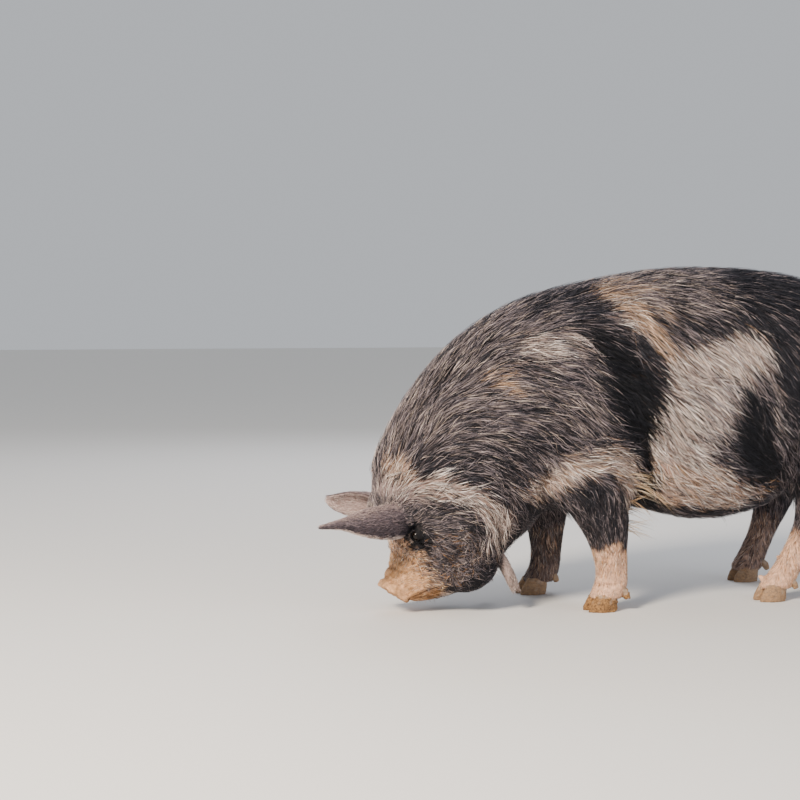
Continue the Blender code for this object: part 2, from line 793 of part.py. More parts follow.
def make_tail(pig):
    """The hanging tail with flat tapered locks at its end."""
    tail = tapered("tail", TAIL_PATH, TAIL_RADII, pig, 10, 7)
    tools = new_collection("tail_locks", hidden=True)
    for n, (start, turn, length) in enumerate(TAIL_LOCKS):
        root = Vector(between(TAIL_PATH, start))
        along = (Vector(between(TAIL_PATH, start + 0.06)) - root).normalized()
        aside = along.cross(Vector((math.cos(math.radians(turn)), math.sin(math.radians(turn)), 0)))
        aside.normalize()
        radius = between([(row,) for row in TAIL_RADII], start)[0]
        out = aside
        side = along.cross(out)
        rings = []
        for share, wide, height in ((0.0, 0.8, -0.5), (0.35, 1.0, 0.7), (0.7, 0.7, 1.2), (1.0, 0.08, 1.5)):
            middle = root + along * length * share + out * radius * height
            half = side * 0.008 * wide
            rings.append([middle - half, middle + out * 0.004 * wide, middle + half])
        loft(f"tail_lock_{n}", rings, tools)
    combine(tail, tools, "UNION")
    bpy.data.collections.remove(tools)
    return tail


def tapered(name, path, radii, collection, steps, points):
    rows = [(*point, radius) for point, radius in zip(path, radii)]
    spread = [between(rows, i / steps) for i in range(steps + 1)]
    path = [Vector(row[:3]) for row in spread]
    return tube(name, path, [row[3] for row in spread], collection, points)


# Toes: level rings of one main toe (z, half length, half width, how far back its middle stands)
# and of one dew claw.
TOE_RINGS = (
    (0.0000, 0.0300, 0.0142, 0.0000),
    (0.0030, 0.0312, 0.0150, 0.0000),
    (0.0180, 0.0284, 0.0150, 0.0035),
    (0.0300, 0.0250, 0.0138, 0.0075),
    (0.0380, 0.0200, 0.0105, 0.0095),
)
DEWCLAW_PATH = ((-0.014, 0.000, 0.052), (-0.006, 0.001, 0.043), (0.002, 0.002, 0.033), (0.006, 0.002, 0.025))
DEWCLAW_RADII = (0.0080, 0.0085, 0.0075, 0.0045)


def make_toes(leg_name, pig):
    """Two main toes that stand flat on the floor and two dew claws behind them."""
    _, side, foot_x, foot_y, _ = LEGS[leg_name]
    label = leg_name.replace("leg", "toe")
    made = []
    for where, offset in (("inner", -1), ("outer", 1)):
        y = foot_y + side * offset * 0.0168
        rings = []
        for z, half_x, half_y, back in TOE_RINGS:
            centre = Vector((foot_x - 0.016 + back, y, z))
            rings.append(level_ring(centre, half_x, half_y, 10, 0.42))
        made.append(loft(f"{label}_{where}", rings, pig))
        heel = Vector((foot_x + 0.034, foot_y + side * offset * 0.019, 0.0))
        path = [heel + Vector((x, side * offset * y2, z)) for x, y2, z in DEWCLAW_PATH]
        claw_label = leg_name.replace("leg", "dewclaw")
        made.append(tapered(f"{claw_label}_{where}", path, DEWCLAW_RADII, pig, 3, 7))
    return made


EYE_RADIUS = 0.0125
EYE_AIM = Vector((-0.455, 0.120, 0.158))         # a point outside the eye, looked for on the skin


def surface_of(source):
    graph = bpy.context.evaluated_depsgraph_get()
    return BVHTree.FromObject(source, graph)


def make_eye(side, surface, pig):
    """The eyeball, sunk in its socket. Returns it with its centre and its outward direction."""
    aim = Vector((EYE_AIM.x, EYE_AIM.y * side, EYE_AIM.z))
    point, out, _, _ = surface.find_nearest(aim)
    centre = point - out * 0.0075
    name = "eye_left" if side < 0 else "eye_right"
    bpy.ops.mesh.primitive_ico_sphere_add(subdivisions=2, radius=EYE_RADIUS)
    eye = bpy.context.object
    eye.name = name
    eye.data.transform(Matrix.Translation(centre))
    return move_to(eye, pig), centre, out


def shape_lids(head, centre, out):
    """A skin mound round the eyeball, opened in an almond between two lids."""
    forward = Vector((0.10, 0, -1.0)) * (1 if out.y < 0 else -1)
    forward = (forward - out * forward.dot(out)).normalized()
    up = out.cross(forward)
    tools = new_collection("lids", hidden=True)
    bpy.ops.mesh.primitive_uv_sphere_add(segments=14, ring_count=9, radius=1.0)
    mound = bpy.context.object
    turn = Matrix((forward, up, out)).transposed().to_4x4()
    grow = Matrix.Diagonal((0.0205, 0.0170, 0.0152, 1.0))
    mound.data.transform(Matrix.Translation(centre) @ turn @ grow)
    move_to(mound, tools)
    combine(head, tools, "UNION")
    rings = []
    for depth, size in ((0.0245, 1.25), (0.0120, 1.0), (0.0020, 0.8)):
        ring = []
        for i in range(12):
            angle = math.tau * i / 12
            reach = forward * math.cos(angle) * 0.0128
            lift = up * math.sin(angle) * abs(math.sin(angle)) ** 0.4 * 0.0062
            ring.append(centre + out * depth + (reach + lift) * size)
        rings.append(ring)
    loft("opening", rings, tools)
    combine(head, tools, "DIFFERENCE")
    bpy.data.collections.remove(tools)


# The mouth line, from the middle below the snout back to its corner: aimed at from outside.
MOUTH_LINE = ((-0.432, 0.000, 0.012), (-0.430, 0.030, 0.014), (-0.418, 0.056, 0.022),
              (-0.396, 0.064, 0.038), (-0.370, 0.074, 0.050), (-0.346, 0.084, 0.060))


def mouth_stations(surface, steps=8):
    """Points on the skin along the whole mouth line, with the skin's direction there."""
    half = [between(MOUTH_LINE, i / steps) for i in range(steps + 1)]
    aims = [Vector((x, -y, z)) for x, y, z in half[:0:-1]] + [Vector(row) for row in half]
    return [surface.find_nearest(aim)[:2] for aim in aims]


def shape_mouth(head):
    """Two soft lips and the groove between them."""
    stations = mouth_stations(surface_of(head))
    lines = {"upper": [], "lower": [], "groove": []}
    for i, (point, out) in enumerate(stations):
        before = stations[max(0, i - 1)][0]
        after = stations[min(len(stations) - 1, i + 1)][0]
        along = (after - before).normalized()
        across = out.cross(along)
        if across.z < 0:
            across = -across
        ends = min(i, len(stations) - 1 - i)
        deep = 0.012 if ends > 2 else 0.004 + 0.0027 * ends
        lines["upper"].append(point - out * 0.0018 + across * 0.0060)
        lines["lower"].append(point - out * 0.0024 - across * 0.0056)
        wide = across * (0.0010, 0.0020, 0.0036, 0.0042, 0.0030, 0.0022)[min(5, ends)]
        lines["groove"].append([point + out * 0.006 + wide, point + out * 0.006 - wide, point - out * deep])
    tools = new_collection("lips", hidden=True)
    last = len(stations) - 1
    for which, radius in (("upper", 0.0052), ("lower", 0.0048)):
        radii = [radius * min(1.0, 0.45 + 0.2 * min(i, last - i)) for i in range(last + 1)]
        tube(which + "_lip", lines[which], radii, tools, points=5)
    combine(head, tools, "UNION")
    loft("groove", lines["groove"], tools)
    combine(head, tools, "DIFFERENCE")
    bpy.data.collections.remove(tools)


def paint(made, name, colour, rough):
    """Gives an object its own material; colour is sRGB, written as a hex string."""
    parts = [int(colour[i:i + 2], 16) / 255 for i in (1, 3, 5)]
    linear = [c / 12.92 if c <= 0.04045 else ((c + 0.055) / 1.055) ** 2.4 for c in parts]
    material = bpy.data.materials.new(name)
    material.use_nodes = True
    shader = material.node_tree.nodes["Principled BSDF"]
    shader.inputs["Base Color"].default_value = (*linear, 1.0)
    shader.inputs["Roughness"].default_value = rough
    made.data.materials.clear()
    made.data.materials.append(material)


COLOURS = (
    ("torso", "#4A3F3B", 0.80),
    ("neck", "#463C3A", 0.80),
    ("head", "#6B5346", 0.80),
    ("snout", "#B08468", 0.60),
    ("ear", "#5A4A48", 0.80),
    ("eye", "#20150F", 0.10),
    ("wattle", "#A58A86", 0.75),
    ("tail", "#3A302E", 0.85),
    ("leg_fore", "#9C8274", 0.80),
    ("leg_hind", "#8A7468", 0.80),
    ("toe", "#6E5138", 0.60),
    ("dewclaw", "#5E4632", 0.60),
)


def main():
    clear_scene()
    helpers = new_collection("helpers", hidden=True)
    pig = new_collection("kunekune_pig")
    fused = fuse_flesh(helpers)
    body = lighter(fused, "body", BODY_SHARE, helpers)
    fine_body = lighter(fused, "fine_body", HEAD_SHARE, helpers)
    add_teats(body, fused)
    add_locks(body, fused, ("torso", "neck"))
    made = part_body(body, fine_body, pig)
    head = made["head"]
    shape_mouth(head)
    snout = make_snout(pig)
    make_room(head, snout)
    surface = surface_of(fused)
    for side in (-1, 1):
        eye, centre, out = make_eye(side, surface, pig)
        shape_lids(head, centre, out)
        make_room(head, eye)
    for name in EAR_LINES:
        make_room(make_ear(name, pig), head, made["neck"])
    for side, name in ((-1, "wattle_left"), (1, "wattle_right")):
        path = [(x, y * side, z) for x, y, z in WATTLE_PATH]
        make_room(tapered(name, path, WATTLE_RADII, pig, 8, 10), head, made["neck"])
    make_room(make_tail(pig), made["torso"])
    for name in LEGS:
        make_room(made[name], *make_toes(name, pig))
    stand = bpy.data.objects.new("kunekune_pig", None)
    bpy.context.scene.collection.objects.link(stand)
    stand.location = (FRAME_SHIFT_X, FRAME_SHIFT_Y, 0)
    for piece in pig.objects:
        piece.parent = stand
        for start, colour, rough in COLOURS:
            if piece.name.startswith(start):
                paint(piece, piece.name, colour, rough)


main()
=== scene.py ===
import math

import bmesh
import bpy
import numpy as np
from mathutils import Matrix, Vector, noise
from mathutils.bvhtree import BVHTree
from mathutils.kdtree import KDTree


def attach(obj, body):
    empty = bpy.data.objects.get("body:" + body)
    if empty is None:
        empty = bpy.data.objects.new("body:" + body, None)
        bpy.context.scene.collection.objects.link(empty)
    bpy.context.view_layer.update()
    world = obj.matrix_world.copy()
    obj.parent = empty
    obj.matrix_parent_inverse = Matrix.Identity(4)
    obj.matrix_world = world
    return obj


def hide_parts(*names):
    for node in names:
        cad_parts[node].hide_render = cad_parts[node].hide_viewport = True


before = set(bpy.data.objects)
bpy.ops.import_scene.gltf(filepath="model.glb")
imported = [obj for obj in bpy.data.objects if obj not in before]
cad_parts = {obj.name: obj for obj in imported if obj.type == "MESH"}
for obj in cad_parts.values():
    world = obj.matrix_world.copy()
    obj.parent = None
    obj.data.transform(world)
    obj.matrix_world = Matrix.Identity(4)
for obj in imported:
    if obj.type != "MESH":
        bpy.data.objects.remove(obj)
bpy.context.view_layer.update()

# The pig is laid out in metres with x = 0 between its fore feet: head towards -x, its left side
# towards -y. Long tables of places are in millimetres instead. Each finished mesh is then moved by
# this much, to where the frame has it.
frameShift = Vector((-0.0836, 0.0, 0.0))
scene = bpy.context.scene
chance = np.random.default_rng(7)


def linearColour(hexText):
    parts = [int(hexText[i:i + 2], 16) / 255 for i in (1, 3, 5)]
    return tuple(c / 12.92 if c <= 0.04045 else ((c + 0.055) / 1.055) ** 2.4 for c in parts)


def coloursOf(hexes):
    return np.array([linearColour(h) for h in hexes])


def between(rows, t):
    # the row at t from 0 to 1 of a table, on a smooth curve
    place = t * (len(rows) - 1)
    low = min(int(place), len(rows) - 2)
    part = place - low
    near = [rows[max(0, min(len(rows) - 1, low + k))] for k in (-1, 0, 1, 2)]
    return [b + 0.5 * part * (c - a + part * (2 * a - 5 * b + 4 * c - d + part * (3 * (b - c) + d - a)))
            for a, b, c, d in zip(*near)]


def metres(rows):
    return [[value / 1000 for value in row] for row in rows]


def stationsOf(rows, steps):
    return [between(rows, i / steps) for i in range(steps + 1)]


def selectOnly(*objects):
    if bpy.context.mode != "OBJECT":
        bpy.ops.object.mode_set(mode="OBJECT")
    bpy.ops.object.select_all(action="DESELECT")
    for obj in objects:
        obj.select_set(True)
    bpy.context.view_layer.objects.active = objects[-1]


def addModifier(obj, kind, **settings):
    modifier = obj.modifiers.new(kind.lower(), kind)
    for key, value in settings.items():
        setattr(modifier, key, value)


def applyAll(obj):
    selectOnly(obj)
    for modifier in list(obj.modifiers):
        bpy.ops.object.modifier_apply(modifier=modifier.name)
    return obj


def joinAll(name, pieces):
    selectOnly(*pieces)
    bpy.ops.object.join()
    joined = bpy.context.object
    joined.name = name
    joined.data.name = name
    return joined


def combine(target, tool, how):
    addModifier(target, "BOOLEAN", operation=how, object=tool, solver="MANIFOLD")
    applyAll(target)
    bpy.data.objects.remove(tool)


def weighPoints(obj, name, weights):
    # a vertex group of the points that weigh more than a trace
    group = obj.vertex_groups.new(name=name)
    for i in np.flatnonzero(weights > 0.02):
        group.add([int(i)], float(weights[i]), "REPLACE")


def loftRings(name, rings):
    # a closed skin over rings of equal length, capped at both ends
    count = len(rings[0])
    verts = [point for ring in rings for point in ring]
    faces = []
    for low in range(0, len(verts) - count, count):
        for i in range(count):
            j = (i + 1) % count
            faces.append((low + i, low + j, low + count + j, low + count + i))
    faces += [tuple(range(count))[::-1], tuple(range(len(verts) - count, len(verts)))]
    mesh = bpy.data.meshes.new(name)
    mesh.from_pydata(verts, [], faces)
    shape = bmesh.new()
    shape.from_mesh(mesh)
    bmesh.ops.recalc_face_normals(shape, faces=shape.faces)
    shape.to_mesh(mesh)
    shape.free()
    made = bpy.data.objects.new(name, mesh)
    scene.collection.objects.link(made)
    return made


def tubeAlong(name, path, radii, points, flatten=1.0):
    centres = [Vector(point) for point in path]
    rings = []
    side = None
    for i, centre in enumerate(centres):
        along = (centres[min(len(centres) - 1, i + 1)] - centres[max(0, i - 1)]).normalized()
        if side is None:
            side = along.cross(Vector((0, 1, 0))).normalized()
        side = (side - along * side.dot(along)).normalized()
        other = along.cross(side)
        rings.append([centre + (side * math.cos(math.tau * k / points)
                                + other * math.sin(math.tau * k / points) * flatten) * radii[i]
                      for k in range(points)])
    return loftRings(name, rings)


def taperedTube(name, path, radii, steps, points):
    rows = stationsOf([(*p, r) for p, r in zip(path, radii)], steps)
    return tubeAlong(name, [row[:3] for row in rows], [row[3] for row in rows], points)


def mirrored(path, side):
    return [(x, y * side, z) for x, y, z in path]


def pointsOf(mesh):
    flat = np.empty(len(mesh.vertices) * 3, np.float32)
    mesh.vertices.foreach_get("co", flat)
    return flat.reshape(-1, 3).astype(float)


def normalsOf(mesh):
    flat = np.empty(len(mesh.vertices) * 3, np.float32)
    mesh.vertex_normals.foreach_get("vector", flat)
    return flat.reshape(-1, 3).astype(float)


def setPoints(mesh, points):
    mesh.vertices.foreach_set("co", points.astype(np.float32).ravel())
    mesh.update()


def paintPoints(mesh, name, colours):
    rgba = np.ones((len(colours), 4), np.float32)
    rgba[:, :3] = colours
    mesh.color_attributes.new(name, "FLOAT_COLOR", "POINT").data.foreach_set("color", rgba.ravel())


def markPoints(mesh, name, values):
    mesh.attributes.new(name, "FLOAT", "POINT").data.foreach_set("value", values.astype(np.float32))


def unit(vectors):
    return vectors / np.maximum(np.linalg.norm(vectors, axis=1, keepdims=True), 1e-9)


def ramp(values, low, high):
    # 0 at low, 1 at high, and soft at both ends
    t = np.clip((values - low) / (high - low), 0, 1)
    return t * t * (3 - 2 * t)


def swing(directions, normals, angles):
    # directions turned about the normals by angles in radians
    return directions * np.cos(angles)[:, None] + np.cross(normals, directions) * np.sin(angles)[:, None]


def foldTo(points, side):
    # every point brought over to one side of the pig
    return points * np.where(points[:, 1:2] * side < 0, (1, -1, 1), (1, 1, 1))


def travelAlong(points):
    return np.concatenate([[0], np.cumsum(np.linalg.norm(np.diff(points, axis=0), axis=1))])


def roughly(points, size, seed):
    # soft noise from about -1 to 1, with lumps of the given size in metres
    move = Vector((seed * 3.7, seed * 1.3, seed * 2.1))
    return np.array([noise.noise(Vector(p) / size + move) for p in points]) * 1.6


def placeOnFrame(obj):
    obj.data.transform(Matrix.Translation(frameShift))
    obj.data.update()


# camera, floor and light

camera = {
    "place": Vector((-1.571, -3.333, 0.625)),
    "turn": 19.0,            # degrees to the right of straight across the pig
    "dip": 2.82,             # degrees below level
    "lens": 1666 / 800 * 36,  # the photo is 800 pixels wide
}


def setUpCamera():
    bpy.ops.object.camera_add(location=camera["place"] + frameShift)
    eye = bpy.context.object
    eye.name = "photoCamera"
    eye.data.sensor_width = 36
    eye.data.lens = camera["lens"]
    turn = math.radians(camera["turn"])
    aim = Vector((math.sin(turn), math.cos(turn), -math.tan(math.radians(camera["dip"]))))
    eye.rotation_euler = aim.to_track_quat("-Z", "Y").to_euler()
    scene.camera = eye


studio = {
    "floor": "#E6E3DE",
    "wall": "#E2E6EC",
    "wallStrength": 0.72,
    "lampsAimAt": Vector((0.0, 0.0, 0.35)),
    # name, place, size, watts, colour
    "lamps": (
        ("keyLamp", (-3.4, -2.6, 2.9), 1.2, 430, "#FFF2E2"),
        ("fillLamp", (2.8, -3.8, 2.0), 3.0, 46, "#D8E4FF"),
        ("backLamp", (1.2, 3.6, 3.0), 2.4, 70, "#EEF2FF"),
    ),
}


def setUpStudio():
    bpy.ops.mesh.primitive_plane_add(size=60, location=(0, 0, 0))
    floor = bpy.context.object
    floor.name = "studioFloor"
    floor.data.materials.append(plainPaint("floorPaint", studio["floor"], 0.85))
    for name, place, size, watts, colour in studio["lamps"]:
        bpy.ops.object.light_add(type="AREA", location=place)
        lamp = bpy.context.object
        lamp.name = name
        lamp.data.shape = "DISK"
        lamp.data.size = size
        lamp.data.energy = watts
        lamp.data.color = linearColour(colour)
        lamp.rotation_euler = (studio["lampsAimAt"] - Vector(place)).to_track_quat("-Z", "Y").to_euler()
    world = bpy.data.worlds.new("studioWorld")
    scene.world = world
    world.use_nodes = True
    sky = world.node_tree.nodes["Background"]
    sky.inputs["Color"].default_value = (*linearColour(studio["wall"]), 1)
    sky.inputs["Strength"].default_value = studio["wallStrength"]


# materials


def addNode(tree, kind, settings=None, values=None, links=None):
    # one node with its settings, then its values and what feeds it, by socket name or number
    node = tree.nodes.new("ShaderNode" + kind)
    for key, value in (settings or {}).items():
        setattr(node, key, value)
    for key, value in (values or {}).items():
        node.inputs[key].default_value = value
    feed(tree, node, links or {})
    return node


def feed(tree, node, links):
    for key, source in links.items():
        tree.links.new(source, node.inputs[key])


def newMaterial(name):
    material = bpy.data.materials.new(name)
    material.use_nodes = True
    tree = material.node_tree
    return material, tree, tree.nodes["Principled BSDF"]


def plainPaint(name, colour, rough):
    # matt studio paint
    material, _, shader = newMaterial(name)
    setInputs(shader, Base_Color=(*linearColour(colour), 1), Roughness=rough)
    return material


# on a Mix node of colours, sockets 6 and 7 are A and B, and output 2 is the mixed colour


def setInputs(shader, **values):
    for key, value in values.items():
        shader.inputs[key.replace("_", " ")].default_value = value


def pigSkin():
    # live skin: soft and a little moist where bare, dull and finely creased under the hair
    material, tree, shader = newMaterial("pigSkin")
    place = {"Vector": addNode(tree, "TexCoord").outputs["Object"]}
    own = addNode(tree, "Attribute", {"attribute_name": "skinColour"}).outputs["Color"]
    bare = addNode(tree, "Attribute", {"attribute_name": "bareSkin"}).outputs["Fac"]
    # blotches of tone about 8 mm across
    blotch = addNode(tree, "TexNoise", {}, {"Scale": 120.0, "Detail": 5.0, "Roughness": 0.62}, place)
    depth = addNode(tree, "MapRange", {}, {"From Min": 0.3, "From Max": 0.7, "To Min": 0.58, "To Max": 1.25},
                    {"Value": blotch.outputs["Fac"]})
    tone = addNode(tree, "Mix", {"data_type": "RGBA", "blend_type": "MULTIPLY"}, {"Factor": 1.0},
                   {6: own, 7: depth.outputs["Result"]})
    # mud dried in blotches about 20 mm across on the bare muzzle
    blots = addNode(tree, "TexNoise", {}, {"Scale": 48.0, "Detail": 7.0, "Roughness": 0.7}, place)
    dirt = addNode(tree, "MapRange", {}, {"From Min": 0.46, "From Max": 0.66, "To Max": 0.8},
                   {"Value": blots.outputs["Fac"]})
    barest = addNode(tree, "MapRange", {}, {"From Min": 0.5}, {"Value": bare})
    dirty = addNode(tree, "Math", {"operation": "MULTIPLY"}, {},
                    {0: dirt.outputs["Result"], 1: barest.outputs["Result"]})
    soiled = addNode(tree, "Mix", {"data_type": "RGBA"}, {7: (*linearColour("#8F6638"), 1)},
                     {0: dirty.outputs[0], 6: tone.outputs[2]})
    # pores about 1.4 mm apart and creases about 5 mm apart
    pores = addNode(tree, "TexVoronoi", {"feature": "SMOOTH_F1"}, {"Scale": 700.0}, place)
    lines = addNode(tree, "TexNoise", {}, {"Scale": 210.0, "Detail": 6.0, "Roughness": 0.6}, place)
    fine = addNode(tree, "Math", {"operation": "MULTIPLY_ADD"}, {1: 0.45},
                   {0: pores.outputs["Distance"], 2: lines.outputs["Fac"]})
    # crumbs of dried mud about 6 mm across, where the skin is bare
    crumbs = addNode(tree, "TexNoise", {}, {"Scale": 170.0, "Detail": 8.0, "Roughness": 0.74}, place)
    mud = addNode(tree, "Math", {"operation": "MULTIPLY"}, {1: 3.0}, {0: crumbs.outputs["Fac"]})
    muddy = addNode(tree, "Math", {"operation": "MULTIPLY"}, {}, {0: mud.outputs[0], 1: bare})
    relief = addNode(tree, "Math", {"operation": "ADD"}, {}, {0: fine.outputs[0], 1: muddy.outputs[0]})
    crust = addNode(tree, "MapRange", {}, {"To Min": 0.5, "To Max": 1.0}, {"Value": bare})
    bump = addNode(tree, "Bump", {}, {"Distance": 0.0012},
                   {"Height": relief.outputs[0], "Strength": crust.outputs["Result"]})
    gloss = addNode(tree, "MapRange", {}, {"To Min": 0.78, "To Max": 0.62}, {"Value": bare})
    feed(tree, shader, {"Base Color": soiled.outputs[2], "Normal": bump.outputs["Normal"],
                        "Roughness": gloss.outputs["Result"]})
    setInputs(shader, IOR=1.4, Specular_IOR_Level=0.28)
    return material


def coatHair():
    # keratin hair: each tuft carries its own colour, with a soft shine along it
    material, tree, shader = newMaterial("coatHair")
    place = {"Vector": addNode(tree, "TexCoord").outputs["Object"]}
    own = addNode(tree, "Attribute", {"attribute_name": "hairColour"}).outputs["Color"]
    # darker and lighter stretches about 4 mm long
    grain = addNode(tree, "TexNoise", {}, {"Scale": 260.0, "Detail": 3.0}, place)
    spread = {"From Min": 0.32, "From Max": 0.68, "To Min": 0.78, "To Max": 1.22}
    depth = addNode(tree, "MapRange", {}, spread, {"Value": grain.outputs["Fac"]})
    tone = addNode(tree, "Mix", {"data_type": "RGBA", "blend_type": "MULTIPLY"}, {"Factor": 1.0},
                   {6: own, 7: depth.outputs["Result"]})
    feed(tree, shader, {"Base Color": tone.outputs[2]})
    setInputs(shader, Roughness=0.50, IOR=1.5, Specular_IOR_Level=0.30)
    return material


# the flesh under the coat

# trunk stations in millimetres: x, top, underside, half width, how much fuller the lower half is
# in thousandths of that
trunkRows = metres((
    (-160, 560, 330, 60, 0), (-130, 640, 270, 120, 40), (-70, 682, 240, 165, 60),
    (40, 706, 230, 190, 100), (160, 726, 204, 212, 140), (290, 732, 190, 226, 160),
    (420, 727, 218, 222, 140), (540, 708, 275, 198, 60), (640, 662, 330, 166, 0),
    (705, 600, 380, 120, 0), (742, 530, 440, 50, 0),
))
# neck and head stations: crest point's x and z, throat point's x and z, half width, fuller lower half
neckRows = metres((
    (10, 690, 50, 260, 150, 0), (-80, 680, -20, 245, 176, 0), (-165, 652, -75, 235, 170, 40),
    (-255, 603, -115, 205, 158, 60), (-335, 538, -145, 165, 146, 80), (-400, 460, -178, 140, 138, 100),
    (-447, 388, -205, 116, 132, 120), (-476, 318, -232, 90, 126, 140), (-482, 258, -256, 68, 116, 160),
    (-468, 205, -284, 48, 103, 180), (-450, 160, -310, 34, 86, 160), (-442, 128, -335, 26, 69, 100),
    (-446, 104, -356, 20, 58, 20), (-454, 86, -382, 18, 52, 0), (-461, 72, -404, 19, 48, 0),
))
# rounded masses: centre, radii, turn about y in degrees, with a twin on the other side where y isn't 0
fleshMasses = {
    "shoulderBlade": ((0.000, 0.098, 0.430), (0.175, 0.088, 0.215), 14.0),
    "upperArm": ((-0.035, 0.118, 0.300), (0.105, 0.066, 0.100), 0.0),
    "bellySide": ((0.255, 0.085, 0.350), (0.260, 0.133, 0.160), 0.0),
    "ham": ((0.560, 0.095, 0.440), (0.185, 0.098, 0.210), -14.0),
    "jowl": ((-0.292, 0.062, 0.116), (0.068, 0.056, 0.074), 30.0),
    "cheek": ((-0.322, 0.070, 0.180), (0.080, 0.048, 0.078), 0.0),
    "earMound": ((-0.442, 0.052, 0.222), (0.038, 0.036, 0.044), 0.0),
    "brow": ((-0.404, 0.056, 0.170), (0.034, 0.028, 0.026), 20.0),
    "brisket": ((-0.060, 0.000, 0.285), (0.100, 0.100, 0.075), 0.0),
}
# leg stations: z, x, half length, half width
foreLegRows = metres((
    (400, 0, 110, 62), (330, -16, 100, 60), (285, -28, 92, 56), (240, -26, 80, 51), (190, -10, 59, 43),
    (145, 3, 44, 37), (100, 10, 37, 33), (65, 12, 37, 35), (42, 5, 41, 37), (22, -4, 40, 34),
))
hindLegRows = metres((
    (460, 150, 125, 60), (390, 135, 132, 66), (330, 112, 112, 62), (270, 98, 84, 52), (215, 94, 60, 41),
    (170, 80, 46, 34), (120, 52, 37, 31), (70, 22, 36, 33), (42, 4, 41, 36), (22, -6, 40, 34),
))
# each leg: its rows, side, x and y of the foot, how far its top leans
legs = {
    "leg_fore_left": (foreLegRows, -1, 0.000, -0.128, 0.000),
    "leg_fore_right": (foreLegRows, 1, -0.050, 0.128, 0.052),
    "leg_hind_left": (hindLegRows, -1, 0.412, -0.132, 0.038),
    "leg_hind_right": (hindLegRows, 1, 0.500, 0.132, -0.050),
}
flesh = {
    "ringPoints": 28,
    "legPoints": 20,
    "trunkSteps": 30,        # rings along the trunk and along the neck and head
    "neckSteps": 42,
    "grid": 0.009,           # voxels that fuse the masses
    "smoothing": 26,
    "fineGrid": 0.0031,      # voxels of the finished skin
    "coatDepth": 0.0022,     # how far the skin lies inside the outline where the hair is short
}


def bodyRing(crest, throat, halfWidth, fuller):
    centre = (crest + throat) / 2
    up = (crest - throat) / 2
    turns = [math.tau * i / flesh["ringPoints"] for i in range(flesh["ringPoints"])]
    return [centre + up * math.sin(t) + Vector((0, math.cos(t) * halfWidth * (1 - fuller * math.sin(t)), 0))
            for t in turns]


def bodyMasses():
    trunk = [bodyRing(Vector((x, 0, top)), Vector((x, 0, low)), wide, fuller)
             for x, top, low, wide, fuller in stationsOf(trunkRows, flesh["trunkSteps"])]
    neck = [bodyRing(Vector((crestX, 0, crestZ)), Vector((throatX, 0, throatZ)), wide, fuller)
            for crestX, crestZ, throatX, throatZ, wide, fuller in stationsOf(neckRows, flesh["neckSteps"])]
    made = [loftRings("trunk", trunk), loftRings("neck", neck)]
    for name, (centre, radii, turn) in fleshMasses.items():
        for side in (-1, 1) if centre[1] else (1,):
            bpy.ops.mesh.primitive_uv_sphere_add(segments=24, ring_count=14, radius=1)
            mass = bpy.context.object
            mass.name = name
            mass.data.transform(Matrix.Translation((centre[0], centre[1] * side, centre[2]))
                                @ Matrix.Rotation(math.radians(turn), 4, "Y") @ Matrix.Diagonal((*radii, 1)))
            made.append(mass)
    turns = [math.tau * k / flesh["legPoints"] for k in range(flesh["legPoints"])]
    for name, (rows, _, footX, footY, lean) in legs.items():
        rings = []
        for z, x, halfX, halfY in stationsOf(rows, 3 * (len(rows) - 1)):
            centre = Vector((x + footX + lean * min(1.0, z / rows[0][0]), footY, z))
            rings.append([centre + Vector((math.cos(t) * halfX, math.sin(t) * halfY, 0)) for t in turns])
        made.append(loftRings(name + "Mass", rings))
    return made


def fuseFlesh():
    body = joinAll("fleshUnderCoat", bodyMasses())
    addModifier(body, "REMESH", mode="VOXEL", voxel_size=flesh["grid"])
    applyAll(body)
    # the trunk's masses flow into one another, the face and the lower legs keep their forms
    points = pointsOf(body.data)
    backOfFace = np.clip((points[:, 0] + 0.34) / 0.16, 0, 1)
    aboveLegs = np.clip((points[:, 2] - 0.17) / 0.14, 0, 1)
    weighPoints(body, "softParts", 0.10 + 0.90 * backOfFace * aboveLegs)
    addModifier(body, "SMOOTH", factor=0.9, iterations=flesh["smoothing"], vertex_group="softParts")
    addModifier(body, "SUBSURF", levels=1, render_levels=1)
    applyAll(body)
    body.vertex_groups.clear()
    points = pointsOf(body.data)
    # the neck and trunk carry long hair outside this surface, the face and legs lie within it
    short = 1 - ramp(points[:, 2], 0.20, 0.32) * ramp(points[:, 0], -0.46, -0.30)
    setPoints(body.data, points - normalsOf(body.data) * (flesh["coatDepth"] * short)[:, None])
    return body


# snout, lips, lids, ears, wattles, tail

snout = {
    "middle": Vector((-0.4418, 0.0, 0.0385)),
    "top": Vector((-0.4680, 0.0, 0.0570)),
    "halfWidth": 0.048,
    # depth behind the disc's face and size of each ring
    "rings": ((0.0026, 0.30), (0.0020, 0.60), (0.0004, 0.86), (0.0000, 0.93), (0.0012, 0.995),
              (0.0038, 1.035), (0.0072, 1.030), (0.0112, 0.985), (0.0170, 0.935), (0.0240, 0.90)),
    "ringPoints": 44,
    "squareness": 2.6,       # 2 is an ellipse
    "nostril": 0.0185,       # distance from the middle
    "nostrilRadii": (0.0112, 0.0098, 0.0084, 0.0052),
}


def snoutAxes():
    up = (snout["top"] - snout["middle"]).normalized()
    out = Vector((0, 1, 0)).cross(up)
    return up, -out if out.z > 0 else out


